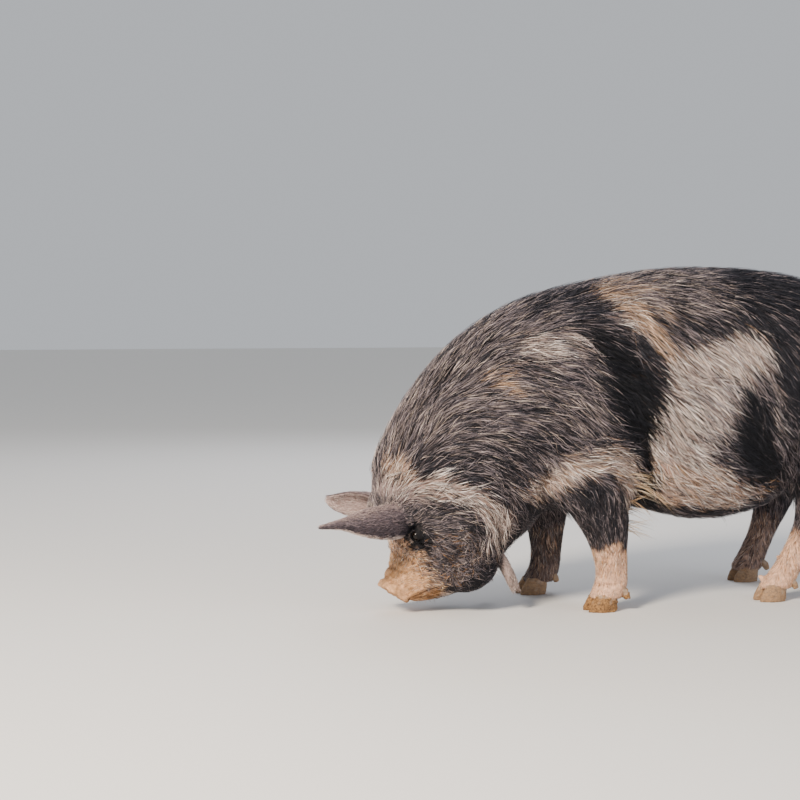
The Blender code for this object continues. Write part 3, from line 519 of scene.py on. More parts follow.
def makeSnout():
    up, out = snoutAxes()
    halfHeight = (snout["top"] - snout["middle"]).length
    power = snout["squareness"]
    rings = []
    for depth, grow in snout["rings"]:
        ring = []
        for i in range(snout["ringPoints"]):
            angle = math.tau * i / snout["ringPoints"]
            rise, side = math.sin(angle), math.cos(angle)
            square = (abs(rise) ** power + abs(side) ** power) ** (-1 / power)
            ring.append(snout["middle"] - out * depth + up * (rise * square * halfHeight * grow)
                        + Vector((0, side * square * snout["halfWidth"] * grow, 0)))
        rings.append(ring)
    return loftRings("snoutDisc", rings)


def nostrilTools():
    # each nostril goes in from before the disc, and turns outwards and up
    up, out = snoutAxes()
    tools = []
    for side in (-1, 1):
        mouth = snout["middle"] + Vector((0, side * snout["nostril"], 0)) + up * 0.001
        path = [mouth + out * 0.012, mouth + out * 0.003, mouth - out * 0.004,
                mouth - out * 0.012 + Vector((0, side * 0.003, 0)) + up * 0.002]
        tools.append(tubeAlong("nostril", path, snout["nostrilRadii"], 20, 0.74))
    return tools


mouthLine = metres(((-432, 0, 12), (-430, 30, 14), (-418, 56, 22), (-396, 64, 38), (-370, 74, 50),
                    (-346, 84, 60)))
# each lip: how deep its middle lies, how far above the groove, its radius
lips = {"upperLip": (0.0016, 0.0062, 0.0054), "lowerLip": (0.0022, -0.0056, 0.0048)}


def surfaceOf(obj):
    obj.data.calc_loop_triangles()
    return BVHTree.FromPolygons([v.co for v in obj.data.vertices],
                                [tuple(t.vertices) for t in obj.data.loop_triangles], all_triangles=True)


def snapTo(surface, points):
    found = [surface.find_nearest(Vector(p)) for p in points]
    return np.array([f[0] for f in found]), np.array([f[1] for f in found])


def dropTo(surface, points, normals):
    # straight in to the skin under each point, so that hollows get their share; else the nearest place
    ends = []
    for point, normal in zip(points, normals):
        hit = surface.ray_cast(Vector(point + normal * 0.001), Vector(-normal), 0.014)[0]
        ends.append(hit or surface.find_nearest(Vector(point))[0])
    return np.array(ends)


def mouthStations(surface):
    # places on the skin from one corner of the mouth to the other, with the way out of the skin
    half = stationsOf(mouthLine, 16)
    aims = mirrored(half[:0:-1], -1) + half
    return [surface.find_nearest(Vector(aim))[:2] for aim in aims]


def mouthShapes(surface):
    # two lips to fuse with the head, and the groove to cut between them
    stations = mouthStations(surface)
    last = len(stations) - 1
    lines = {name: [] for name in lips}
    groove = []
    for i, (point, out) in enumerate(stations):
        along = (stations[min(last, i + 1)][0] - stations[max(0, i - 1)][0]).normalized()
        across = out.cross(along)
        if across.z < 0:
            across = -across
        for name, (sunk, above, _) in lips.items():
            lines[name].append(point - out * sunk + across * above)
        # the groove is shallow and narrow at the corners
        fromEnd = min(i, last - i) / 2
        deep = 0.011 if fromEnd > 2 else 0.0035 + 0.0030 * fromEnd
        wide = across * np.interp(fromEnd, (0, 1, 2, 3, 5), (0.0008, 0.0016, 0.0026, 0.0030, 0.0020))
        groove.append([point + out * 0.007 + wide, point + out * 0.007 - wide, point - out * deep])
    thick = [min(1.0, 0.45 + 0.1 * min(i, last - i)) for i in range(last + 1)]
    tubes = [tubeAlong(name, lines[name], [lips[name][2] * share for share in thick], 10) for name in lips]
    return tubes, groove


eyes = {
    "radius": 0.0122,
    "aim": Vector((-0.455, 0.120, 0.158)),
    "sunk": 0.0075,          # the eye's middle lies this far under the skin
    "mound": (0.0210, 0.0176, 0.0156),   # radii of the swelling that carries the lids
    "opening": (0.0132, 0.0066),         # half width and half height
    # how far out each ring of the opening lies, and its size
    "openingRings": ((0.0245, 1.30), (0.0150, 1.0), (0.0080, 0.92), (0.0020, 0.86)),
    # pupil, iris inside and outside, its dark rim, the stained white; the iris and the white are painted
    # darker than their own tone, as painted shade
    "tones": ("#040304", "#140C08", "#22160F", "#0A0706", "#292120"),
    "hairless": (0.0145, 0.0092),    # half height and half width of the bare place over it
}


def eyeFrame(side, surface):
    # centre, outward, down the face and across it
    aim = Vector((eyes["aim"].x, eyes["aim"].y * side, eyes["aim"].z))
    point, out, _, _ = surface.find_nearest(aim)
    forward = Vector((0.10, 0, -1.0)) * (1 if out.y < 0 else -1)
    forward = (forward - out * forward.dot(out)).normalized()
    return point - out * eyes["sunk"], out, forward, out.cross(forward)


def turnInto(where):
    # moves what is modelled about the origin to an eye's place
    centre, out, forward, across = where
    return Matrix.Translation(centre) @ Matrix((forward, across, out)).transposed().to_4x4()


def lidMound(where):
    bpy.ops.mesh.primitive_uv_sphere_add(segments=28, ring_count=18, radius=1)
    mound = bpy.context.object
    mound.data.transform(turnInto(where) @ Matrix.Diagonal((*eyes["mound"], 1)))
    return mound


def lidOpening(where):
    centre, out, forward, across = where
    rings = []
    for depth, size in eyes["openingRings"]:
        ring = []
        for i in range(28):
            angle = math.tau * i / 28
            reach = forward * math.cos(angle) * eyes["opening"][0]
            lift = across * math.sin(angle) * abs(math.sin(angle)) ** 0.4 * eyes["opening"][1]
            ring.append(centre + out * depth + (reach + lift) * size)
        rings.append(ring)
    return loftRings("lidOpening", rings)


# each ear: its middle line from root to tip, the direction of its front edge, and along it
# half width, half angle of its cup in degrees, thickness
ears = {
    "left": {
        "line": metres(((-446, -62, 199), (-477, -84, 201), (-513, -100, 202),
                        (-552, -109, 203), (-593, -113, 205), (-633, -110, 201))),
        "edge": (0.20, -0.50, -0.83),
        "rows": ((0.029, 84.0, 0.0075), (0.037, 72.0, 0.0062), (0.036, 58.0, 0.0048),
                 (0.025, 48.0, 0.0040), (0.0110, 40.0, 0.0034), (0.0028, 24.0, 0.0024)),
    },
    "right": {
        "line": metres(((-440, 62, 204), (-462, 84, 212), (-486, 106, 216),
                        (-508, 125, 219), (-526, 140, 222), (-541, 152, 228))),
        "edge": (0.34, 0.34, -0.87),
        "rows": ((0.028, 80.0, 0.0075), (0.035, 72.0, 0.0062), (0.035, 60.0, 0.0048),
                 (0.029, 52.0, 0.0040), (0.022, 44.0, 0.0034), (0.010, 28.0, 0.0026)),
    },
}
earSteps, earAcross = 26, 18     # faces along each ear and across it


def earSheets(which):
    # rows of points over the ear's back and over its hollow
    line, edge = ears[which]["line"], ears[which]["edge"]
    side = -1 if which == "left" else 1
    backRows, hollowRows = [], []
    for i in range(earSteps + 1):
        t = i / earSteps
        centre = Vector(between(line, t))
        ahead, behind = Vector(between(line, min(1.0, t + 0.04))), Vector(between(line, max(0.0, t - 0.04)))
        along = (ahead - behind).normalized()
        halfWidth, cup, thick = between(ears[which]["rows"], t)
        edgeHere = Vector(edge)
        edgeHere = (edgeHere - along * edgeHere.dot(along)).normalized()
        back = edgeHere.cross(along) * side
        cup = math.radians(cup)
        radius = halfWidth / math.sin(cup)
        middle = centre - back * radius * math.cos(cup)
        backRow, hollowRow = [], []
        for k in range(earAcross + 1):
            share = 2 * k / earAcross - 1
            # the front edge rolls in a little towards the tip, and the ear waves softly
            wave = 0.0016 * math.sin(9 * t + 3 * share) * math.sin(math.pi * t)
            roll = -0.0045 * max(0.0, share - 0.55) * t * (1 - t) * 8
            spoke = back * math.cos(cup * share) + edgeHere * math.sin(cup * share)
            rim = 0.35 + 0.65 * (1 - abs(share) ** 3)
            backRow.append(middle + spoke * (radius + wave + roll + thick * 0.5 * rim))
            hollowRow.append(middle + spoke * (radius + wave + roll - thick * 0.5 * rim))
        backRows.append(backRow)
        hollowRows.append(hollowRow)
    return backRows, hollowRows


def makeEar(which):
    return loftRings("ear" + which, [back + hollow[::-1] for back, hollow in zip(*earSheets(which))])


wattlePath = metres(((-243, 60, 144), (-227, 66, 124), (-212, 71, 98), (-199, 75, 70), (-189, 78, 45)))
wattleRadii = (0.0110, 0.0116, 0.0118, 0.0114, 0.0090)
tailPath = metres(((660, 0, 610), (722, 0, 604), (757, 6, 560), (766, 16, 500), (768, 18, 440),
                   (776, 8, 385), (786, -4, 345)))
tailRadii = (0.028, 0.024, 0.018, 0.0135, 0.0105, 0.008, 0.0045)
teatPlaces = metres(((120, 56), (225, 62), (330, 62), (425, 52)))
teatRises, teatRadii = (-0.004, 0.006, 0.013), (0.0085, 0.0058, 0.0042)

# lumps of dried mud on the muzzle: height, width, seed
mudLumps = ((0.0014, 0.013, 6.0), (0.0010, 0.0075, 7.0))
crease = {"steps": 60, "reach": 0.16}
# soft creases pressed into the skin: depth and width in metres, share of the depth that the edge
# rises, and millimetre points along the left side
creases = {
    "noseFoldLow": (0.0024, 0.0036, 0.7, (-472, 0, 82), (-458, -36, 78), (-426, -58, 64)),
    "noseFoldMiddle": (0.0022, 0.0040, 0.7, (-462, 0, 103), (-448, -40, 97), (-415, -64, 82)),
    "noseFoldHigh": (0.0020, 0.0046, 0.6, (-456, 0, 128), (-444, -44, 121), (-412, -70, 106)),
    "browFold": (0.0026, 0.0060, 0.5, (-470, 0, 170), (-458, -36, 166), (-440, -62, 156)),
    "eyeHollow": (0.0085, 0.0080, 0.3, (-416, -88, 160), (-402, -94, 150), (-386, -100, 140)),
    "earHollow": (0.0060, 0.0070, 0.2, (-452, -80, 190), (-440, -88, 186), (-424, -100, 196)),
    "underEye": (0.0036, 0.0052, 0.6, (-440, -66, 140), (-416, -84, 137), (-388, -96, 150)),
    "behindEye": (0.0034, 0.0060, 0.5, (-402, -90, 200), (-386, -100, 184), (-378, -103, 160)),
    "mouthCorner": (0.0036, 0.0060, 0.5, (-350, -84, 66), (-338, -92, 82), (-334, -98, 102)),
    "cheekFold": (0.0030, 0.0070, 0.5, (-405, -80, 110), (-380, -92, 100), (-352, -100, 92)),
    "jowlFold": (0.0080, 0.0115, 0.3, (-262, -110, 205), (-243, -100, 165), (-242, -82, 125)),
    "throatFold": (0.0060, 0.0110, 0.3, (-262, 0, 75), (-250, -40, 85), (-240, -74, 112)),
    "elbowFold": (0.0150, 0.0190, 0.2, (74, -150, 225), (82, -175, 290), (78, -190, 350), (66, -196, 410)),
    "armFold": (0.0090, 0.0140, 0.3, (-148, -120, 225), (-150, -135, 265), (-136, -150, 300)),
    "stifleFold": (0.0110, 0.0170, 0.25, (372, -140, 255), (392, -180, 320), (420, -200, 380)),
    "kneeFoldHigh": (0.0022, 0.0050, 0.6, (-46, -120, 132), (-30, -160, 128), (12, -168, 126)),
    "kneeFoldLow": (0.0020, 0.0046, 0.6, (-40, -120, 104), (-24, -158, 101), (14, -164, 102)),
    "pasternFold": (0.0024, 0.0044, 0.7, (-32, -120, 62), (-20, -158, 59), (20, -166, 62)),
    "shinHollow": (0.0026, 0.0070, 0.3, (20, -162, 140), (24, -162, 105), (22, -162, 70)),
}


def pressCreases(obj):
    surface = surfaceOf(obj)
    points = pointsOf(obj.data)
    normals = normalsOf(obj.data)
    push = np.zeros(len(points))
    folded = foldTo(points, -1)
    for depth, width, edge, *line in creases.values():
        path, _ = snapTo(surface, stationsOf(metres(line), crease["steps"]))
        near = np.flatnonzero(np.abs(folded - path.mean(0)).max(1) < crease["reach"])
        gaps = np.linalg.norm(folded[near, None] - path[None], axis=2)
        gap, t = gaps.min(1), gaps.argmin(1) / crease["steps"]
        if line[0][1] == 0:             # these run on over the middle
            fade = np.cos(np.pi / 2 * np.clip(t, 0, 0.96)) ** 0.6
        else:
            fade = np.sin(np.pi * np.clip(t, 0.04, 0.96)) ** 0.6
        push[near] -= depth * fade * np.exp(-(gap / width) ** 2)
        push[near] += depth * fade * edge * np.exp(-((gap - 2.0 * width) / width) ** 2)
    # dried mud lies in lumps on the muzzle
    x, _, z = points.T
    muzzle = ramp(x, -0.385, -0.425) * ramp(z, 0.165, 0.130) * ramp(z, 0.016, 0.030)
    some = np.flatnonzero(muzzle > 0.01)
    lumps = sum(high * roughly(points[some], wide, seed) for high, wide, seed in mudLumps)
    push[some] += muzzle[some] * lumps
    setPoints(obj.data, points + normals * push[:, None])


def makeSkin(body):
    surface = surfaceOf(body)
    lipTubes, groove = mouthShapes(surface)
    sockets = {side: eyeFrame(side, surface) for side in (-1, 1)}
    parts = [bodyCopy(body), makeSnout(), *lipTubes]
    parts += [lidMound(where) for where in sockets.values()]
    for side in (-1, 1):
        parts.append(taperedTube("wattle", mirrored(wattlePath, side), wattleRadii, 16, 16))
        for x, y in teatPlaces:
            root, out, _, _ = surface.find_nearest(Vector((x, y * side, 0.100)))
            parts.append(tubeAlong("teat", [root + out * rise for rise in teatRises], teatRadii, 12))
    parts.append(taperedTube("tail", tailPath, tailRadii, 24, 16))
    skin = joinAll("pigSkin", parts)
    addModifier(skin, "REMESH", mode="VOXEL", voxel_size=flesh["fineGrid"])
    addModifier(skin, "SMOOTH", factor=0.6, iterations=5)
    applyAll(skin)
    pressCreases(skin)
    # the coat hides the trunk, so that most of its faces can go
    x, _, z = pointsOf(skin.data).T
    plain = ramp(x, -0.36, -0.20) * ramp(z, 0.12, 0.24)
    weighPoints(skin, "plainParts", np.maximum(plain, ramp(z, 0.29, 0.40)))
    addModifier(skin, "DECIMATE", ratio=0.26, vertex_group="plainParts")
    applyAll(skin)
    skin.vertex_groups.clear()
    openings = [loftRings("mouthGroove", groove), *nostrilTools()]
    for tool in openings + [lidOpening(where) for where in sockets.values()]:
        combine(skin, tool, "DIFFERENCE")
    for which in ears:
        combine(skin, makeEar(which), "UNION")
    return skin, sockets


def bodyCopy(body):
    selectOnly(body)
    bpy.ops.object.duplicate()
    return bpy.context.object


# markings, shared by skin and coat

# mean colour of the hair and of the skin under it, for each kind of patch
patchTones = {
    "deepBlack": (("#0F1015", "#18191E", "#212228"), "#100F12"),
    "black": (("#1D1E24", "#2A2A30", "#38373D"), "#2B282B"),
    "brown": (("#776C6F", "#8C8083", "#A29391"), "#6B6062"),
    "taupe": (("#A8968C", "#BFACA0", "#D3C2B6"), "#97857C"),
    "ginger": (("#CBA78D", "#B4906F", "#E0BFA4"), "#B08C76"),
    "cream": (("#EFDFD4", "#D2BDB1", "#FDF2E9", "#A89188"), "#CDA999"),
    "grey": (("#B9ADAC", "#9F9596", "#827A7D"), "#A8958F"),
    "mauve": (("#B7A09A", "#9A8685", "#D2BCB0"), "#A58D88"),
    "pink": (("#EBC6AC", "#C9A084", "#F6DCC6", "#AD8B76"), "#E4B89C"),
    "mud": (("#F4C898", "#D39E69", "#FBE0BC", "#9C7048"), "#E3AE80"),
    "rust": (("#93693F", "#AC8054", "#6E4E32"), "#8A6342"),
}
toneNames = list(patchTones)

# painted in order: side, percent of each tone, path of x, z and reach in millimetres, softness of
# its edge in millimetres
markings = (
    # brown ticking in the black coat, and painted sheen: the brown and taupe hairs also stand in for light
    # shining on the black hair
    ("both", {"black": 36, "brown": 50, "taupe": 14},
     ((-450, 400, 70), (-330, 470, 130), (-170, 480, 160)), 60),
    ("both", {"black": 38, "brown": 48, "taupe": 14}, ((-150, 450, 110), (-60, 460, 60)), 50),
    ("both", {"black": 62, "brown": 34, "taupe": 4}, ((-260, 300, 60), (-140, 360, 50)), 40),
    ("both", {"black": 44, "brown": 36, "taupe": 20}, ((100, 700, 40), (200, 670, 60), (310, 660, 50)), 40),
    ("both", {"black": 90, "brown": 10}, ((400, 620, 120), (550, 550, 200), (660, 500, 160)), 50),
    # the black band behind the shoulder
    ("left", {"deepBlack": 88, "black": 12},
     ((-34, 590, 14), (4, 530, 38), (30, 470, 56), (50, 400, 48), (60, 345, 24)), 28),
    # small tan patches on the shoulder and neck
    ("left", {"cream": 84, "taupe": 16}, ((-182, 556, 12), (-148, 562, 26), (-118, 552, 18)), 22),
    ("left", {"cream": 46, "taupe": 44, "brown": 10}, ((-104, 580, 6), (-72, 568, 10), (-40, 552, 4)), 14),
    ("left", {"ginger": 46, "taupe": 38, "brown": 16}, ((-268, 504, 9), (-232, 488, 16), (-206, 472, 8)), 20),
    # the ginger band over the back, with brown behind it
    ("left", {"taupe": 46, "ginger": 26, "brown": 28}, ((50, 680, 10), (112, 658, 18), (128, 622, 12)), 22),
    ("left", {"ginger": 58, "taupe": 14, "cream": 22, "black": 6},
     ((20, 668, 16), (52, 642, 28), (80, 602, 22), (104, 562, 14), (124, 528, 14)), 16),
    ("left", {"cream": 70, "black": 30}, ((18, 628, 4), (46, 600, 5)), 8),
    # the big pale patch of the flank, with the black oval in it; its scattered black hairs are partly dark
    # hair and partly painted shade between the locks
    ("left", {"cream": 78, "grey": 12, "ginger": 10},
     ((134, 516, 22), (190, 524, 36), (262, 532, 44), (312, 548, 36)), 22),
    ("left", {"cream": 74, "grey": 8, "taupe": 6, "black": 12},
     ((150, 480, 45), (146, 420, 56), (142, 350, 62)), 20),
    ("left", {"cream": 60, "ginger": 18, "pink": 14, "black": 8},
     ((85, 300, 24), (145, 275, 46), (220, 258, 46), (290, 240, 28)), 20),
    ("left", {"cream": 62, "grey": 30, "black": 8}, ((215, 460, 40), (205, 380, 30)), 20),
    ("left", {"deepBlack": 70, "black": 30},
     ((292, 440, 26), (296, 385, 44), (312, 318, 38), (366, 284, 34)), 22),
    ("left", {"cream": 24, "grey": 30, "black": 46},
     ((340, 520, 12), (352, 460, 10), (364, 400, 10), (372, 350, 4)), 14),
    ("left", {"pink": 62, "rust": 20, "cream": 18}, ((334, 232, 10), (352, 250, 14)), 12),
    # dark hair along the underside, partly painted shade under the belly
    ("left", {"black": 85, "brown": 15}, ((150, 196, 16), (260, 186, 18), (380, 210, 20)), 14),
    # upper arm, elbow and forearm, with painted shade in the fold behind them
    ("left", {"deepBlack": 70, "black": 30},
     ((64, 345, 14), (74, 300, 14), (90, 262, 18), (104, 228, 22), (134, 204, 16)), 12),
    ("left", {"ginger": 60, "pink": 40}, ((130, 242, 6), (140, 236, 6)), 10),
    ("left", {"cream": 42, "taupe": 36, "ginger": 18, "brown": 4},
     ((-172, 256, 20), (-128, 284, 26), (-88, 312, 26), (-30, 336, 24),
      (16, 322, 26), (34, 284, 22), (42, 240, 14)), 16),
    ("left", {"black": 78, "brown": 22}, ((-80, 246, 20), (-48, 250, 34), (-14, 246, 34), (0, 190, 32)), 18),
    # the other side
    ("right", {"cream": 74, "grey": 16, "ginger": 10},
     ((60, 560, 30), (100, 480, 62), (86, 380, 70), (60, 300, 40)), 24),
    ("right", {"cream": 62, "ginger": 30, "taupe": 8}, ((90, 600, 14), (60, 640, 18), (20, 672, 12)), 22),
    ("right", {"cream": 72, "grey": 28}, ((470, 560, 20), (520, 500, 45), (540, 430, 40)), 24),
    ("right", {"cream": 50, "taupe": 50}, ((-240, 470, 14), (-190, 450, 20)), 22),
    ("right", {"cream": 64, "ginger": 20, "taupe": 16}, ((200, 240, 26), (300, 230, 34), (370, 250, 26)), 20),
    # poll and collar
    ("both", {"mauve": 68, "cream": 20, "brown": 12},
     ((-486, 262, 16), (-458, 270, 20), (-428, 264, 16), (-402, 250, 8)), 14),
    ("both", {"cream": 74, "taupe": 8, "ginger": 4, "black": 14},
     ((-472, 304, 6), (-448, 286, 10), (-410, 274, 16), (-360, 264, 20), (-314, 254, 17),
      (-272, 232, 24), (-244, 200, 30), (-236, 162, 24)), 14),
    ("both", {"cream": 80, "taupe": 20}, ((-380, 284, 10), (-364, 302, 7)), 10),
    ("both", {"ginger": 45, "cream": 40, "taupe": 15},
     ((-470, 326, 8), (-452, 312, 16), (-425, 296, 12)), 16),
    ("middle", {"black": 50, "brown": 40, "taupe": 10},
     ((-484, 246, 10), (-480, 300, 24), (-462, 350, 30)), 16),
    ("left", {"black": 60, "brown": 40}, ((-466, 244, 5), (-440, 240, 7), (-414, 236, 6)), 8),
    # face: dark cheek, painted shade under the jowl, painted shade in the hollow by the eye and in the
    # mouth's corner, bare tan muzzle
    ("both", {"black": 54, "brown": 38, "taupe": 8}, ((-436, 218, 14), (-380, 205, 36), (-320, 190, 42)), 16),
    ("both", {"black": 52, "brown": 30, "rust": 9, "taupe": 9},
     ((-374, 134, 44), (-320, 130, 50), (-290, 100, 45), (-340, 76, 36)), 16),
    # painted shade under the jowl
    ("both", {"deepBlack": 40, "black": 46, "brown": 14},
     ((-330, 48, 10), (-290, 62, 22), (-262, 90, 22)), 16),
    ("both", {"brown": 50, "taupe": 30, "black": 20}, ((-480, 235, 10), (-475, 180, 20)), 16),
    ("both", {"mud": 34, "taupe": 16, "brown": 24, "black": 26},
     ((-428, 150, 10), (-406, 120, 14), (-384, 90, 16), (-360, 62, 14)), 14),
    ("both", {"mud": 84, "taupe": 8, "brown": 8},
     ((-478, 158, 18), (-462, 136, 28), (-438, 104, 32), (-418, 72, 34)), 12),
    # cream and mud hair on top of the muzzle, painted lighter as painted light against the ear's shadow
    ("both", {"mud": 36, "cream": 44, "brown": 10, "black": 10},
     ((-474, 166, 8), (-448, 146, 12), (-426, 126, 10)), 12),
    # painted shade: the hollow by the eye, under the ear, black
    ("both", {"deepBlack": 100}, ((-448, 208, 12), (-424, 182, 21), (-405, 160, 18), (-389, 142, 8)), 7),
    ("both", {"mud": 90, "pink": 10}, ((-470, 90, 20), (-450, 60, 36), (-425, 30, 30)), 14),
    ("both", {"rust": 72, "mud": 28}, ((-410, 30, 12), (-386, 34, 18), (-364, 42, 14)), 12),
    # painted shade in the corner of the mouth
    ("left", {"deepBlack": 60, "rust": 40}, ((-402, 34, 4), (-390, 40, 6)), 8),
    ("both", {"cream": 80, "pink": 20}, ((-348, 40, 6), (-330, 42, 7)), 8),
    # pale lower legs; the far legs are painted mostly black, partly as painted shade
    ("left", {"pink": 74, "mud": 26}, ((-30, 120, 16), (0, 116, 28), (40, 120, 16), (0, 60, 75)), 12),
    ("right", {"pink": 12, "grey": 20, "black": 68}, ((-80, 125, 20), (-20, 130, 30), (-50, 60, 75)), 20),
    ("left", {"pink": 74, "mud": 26}, ((400, 105, 26), (450, 120, 30), (420, 60, 75)), 14),
    ("right", {"pink": 26, "grey": 26, "black": 48}, ((490, 110, 26), (530, 130, 30), (500, 60, 75)), 20),
)


def strokeMask(places, path, soft):
    # 1 inside a stroke of changing reach, 0 outside, with a soft edge
    best = np.full(len(places), -9.0)
    rows = np.array(path, float)
    for a, b in zip(rows[:-1], rows[1:]):
        step = b[:2] - a[:2]
        t = np.clip((places - a[:2]) @ step / max(step @ step, 1e-9), 0, 1)
        gap = np.linalg.norm(places - a[:2] - t[:, None] * step, axis=1)
        best = np.maximum(best, (a[2] + (b[2] - a[2]) * t - gap) / soft)
    return ramp(best, -1, 1)


def sharesOf(mix):
    row = np.zeros(len(toneNames))
    for tone, share in mix.items():
        row[toneNames.index(tone)] = share / 100
    return row


def tonesAt(points, ragged=0.0):
    # the share of each tone at each point; ragged makes every tuft choose for itself at the edges
    shares = np.repeat(sharesOf({"black": 72, "brown": 28})[None], len(points), 0)
    lie = lieAt(points)[0]
    streak = roughly(points, 0.011, 1.0) * 0.010
    lump = roughly(points, 0.034, 2.0)
    places = points[:, (0, 2)] + lie[:, (0, 2)] * streak[:, None] + lump[:, None] * 0.005
    shake = chance.normal(0, 1, len(points)) * ragged if ragged else 0.0
    for side, mix, path, soft in markings:
        mask = strokeMask(places, metres(path), soft / 1000)
        if ragged:
            mask = ramp(mask + shake, 0.35, 0.65) * (mask > 0.02)
        if side == "middle":
            mask = mask * ramp(np.abs(points[:, 1]), 0.034, 0.016)
        elif side != "both":
            mask = mask * ramp(points[:, 1] * (-1 if side == "left" else 1), -0.012, 0.012)
        shares += mask[:, None] * (sharesOf(mix) - shares)
    return shares


def tuftColours(points, pick, shade):
    # pick from 0 to 1 chooses among the tones at a root, so that the hairs of one lock agree
    # a hair's outer half is what shows, so its tone is that of the place it covers
    lie, length, _ = lieAt(points)
    shares = np.cumsum(tonesAt(points + lie * (length * 0.55)[:, None], 0.22), axis=1)
    kind = (pick[:, None] > shares / shares[:, -1:]).sum(1).clip(0, len(toneNames) - 1)
    colours = np.zeros((len(points), 3))
    for k, name in enumerate(toneNames):
        hexes = patchTones[name][0]
        found = np.flatnonzero(kind == k)
        colours[found] = coloursOf(hexes)[chance.integers(0, len(hexes), len(found))]
    vary = chance.normal(1.0, 0.14, len(points)) + 0.14 * roughly(points, 0.016, 4.0) + shade
    return colours * np.clip(vary, 0.55, 1.6)[:, None]


def skinColours(points):
    return tonesAt(points) @ coloursOf([tones[1] for tones in patchTones.values()])


# the lie of the coat

# x and z in millimetres, lie in degrees above level towards the rump, length in millimetres,
# how much it curls in percent
hairRows = (
    (-470, 280, 62, 34, 20), (-452, 312, 62, 42, 20), (-430, 400, 55, 46, 15), (-330, 530, 36, 50, 12),
    (-200, 630, 16, 52, 12), (-400, 262, 4, 30, 20), (-380, 300, 8, 40, 15), (-330, 246, -16, 36, 20),
    (-290, 430, -4, 46, 12), (-180, 520, -16, 48, 12), (-300, 222, -40, 44, 25), (-265, 200, -74, 52, 30),
    (-240, 160, -80, 50, 30), (-220, 320, -28, 46, 15), (-170, 200, -52, 52, 30), (-60, 680, -6, 52, 12),
    (-50, 560, -36, 50, 12), (-60, 420, -44, 48, 15), (-90, 280, -56, 42, 20), (-150, 270, -30, 40, 25),
    (-60, 320, 16, 36, 20), (0, 340, -16, 40, 20), (45, 320, -48, 48, 30), (120, 715, -20, 56, 12),
    (100, 600, -56, 54, 12), (110, 440, -44, 52, 15), (120, 300, -30, 56, 20), (120, 210, -16, 50, 25),
    (320, 730, -26, 56, 12), (320, 600, -62, 56, 12), (320, 440, -52, 54, 15), (320, 290, -30, 52, 20),
    (320, 195, -4, 44, 25), (520, 715, -34, 54, 12), (520, 580, -72, 54, 12), (520, 430, -62, 50, 15),
    (500, 280, -66, 40, 20), (680, 630, -62, 52, 15), (700, 480, -82, 48, 15),
    # the face
    (-478, 220, 76, 20, 20), (-472, 150, 80, 15, 30), (-470, 90, 76, 8, 40), (-440, 186, 44, 13, 20),
    (-432, 115, 50, 14, 40), (-410, 60, 28, 9, 40), (-390, 130, 16, 18, 40), (-380, 205, 2, 24, 20),
    (-345, 185, -12, 28, 30), (-350, 140, -32, 26, 70), (-346, 98, 12, 24, 80), (-306, 150, -52, 30, 70),
    (-292, 96, 24, 28, 80), (-372, 60, 6, 12, 40), (-320, 60, 4, 24, 60),
    # the legs
    (0, 205, -82, 28, 20), (0, 140, -90, 16, 20), (0, 50, -90, 10, 20), (-50, 240, -76, 32, 20),
    (500, 235, -80, 30, 20), (470, 170, -88, 18, 15), (440, 100, -90, 15, 20), (420, 40, -90, 10, 20),
    (520, 100, -90, 15, 20),
)


def lieAt(points):
    # direction, length and curl of the hair, blended from the rows
    rows = np.array(hairRows) / (1000, 1000, 1, 1000, 100)
    angle = np.radians(rows[:, 2])
    lie, length, curl = np.zeros((len(points), 3)), np.zeros(len(points)), np.zeros(len(points))
    total = np.zeros(len(points))
    for row, a in zip(rows, angle):
        weight = 1 / (0.0008 + (points[:, 0] - row[0]) ** 2 + (points[:, 2] - row[1]) ** 2) ** 2
        lie += weight[:, None] * (math.cos(a), 0.0, math.sin(a))
        length += weight * row[3]
        curl += weight * row[4]
        total += weight
    return unit(lie), length / total, curl / total


tuft = {
    "taper": 0.72,           # how much narrower a hair is near its tip
    "crown": 0.9,            # its height to its half width
    "floor": 0.0015,         # no hair reaches lower
    "shade": ((0, 0.35, 1), (0.42, 0.96, 1.16)),   # painted shade: darker at its root, where the hairs shade one another, and a little lighter at its tip
    "bakePatch": 0.003,      # size on its UV map
}


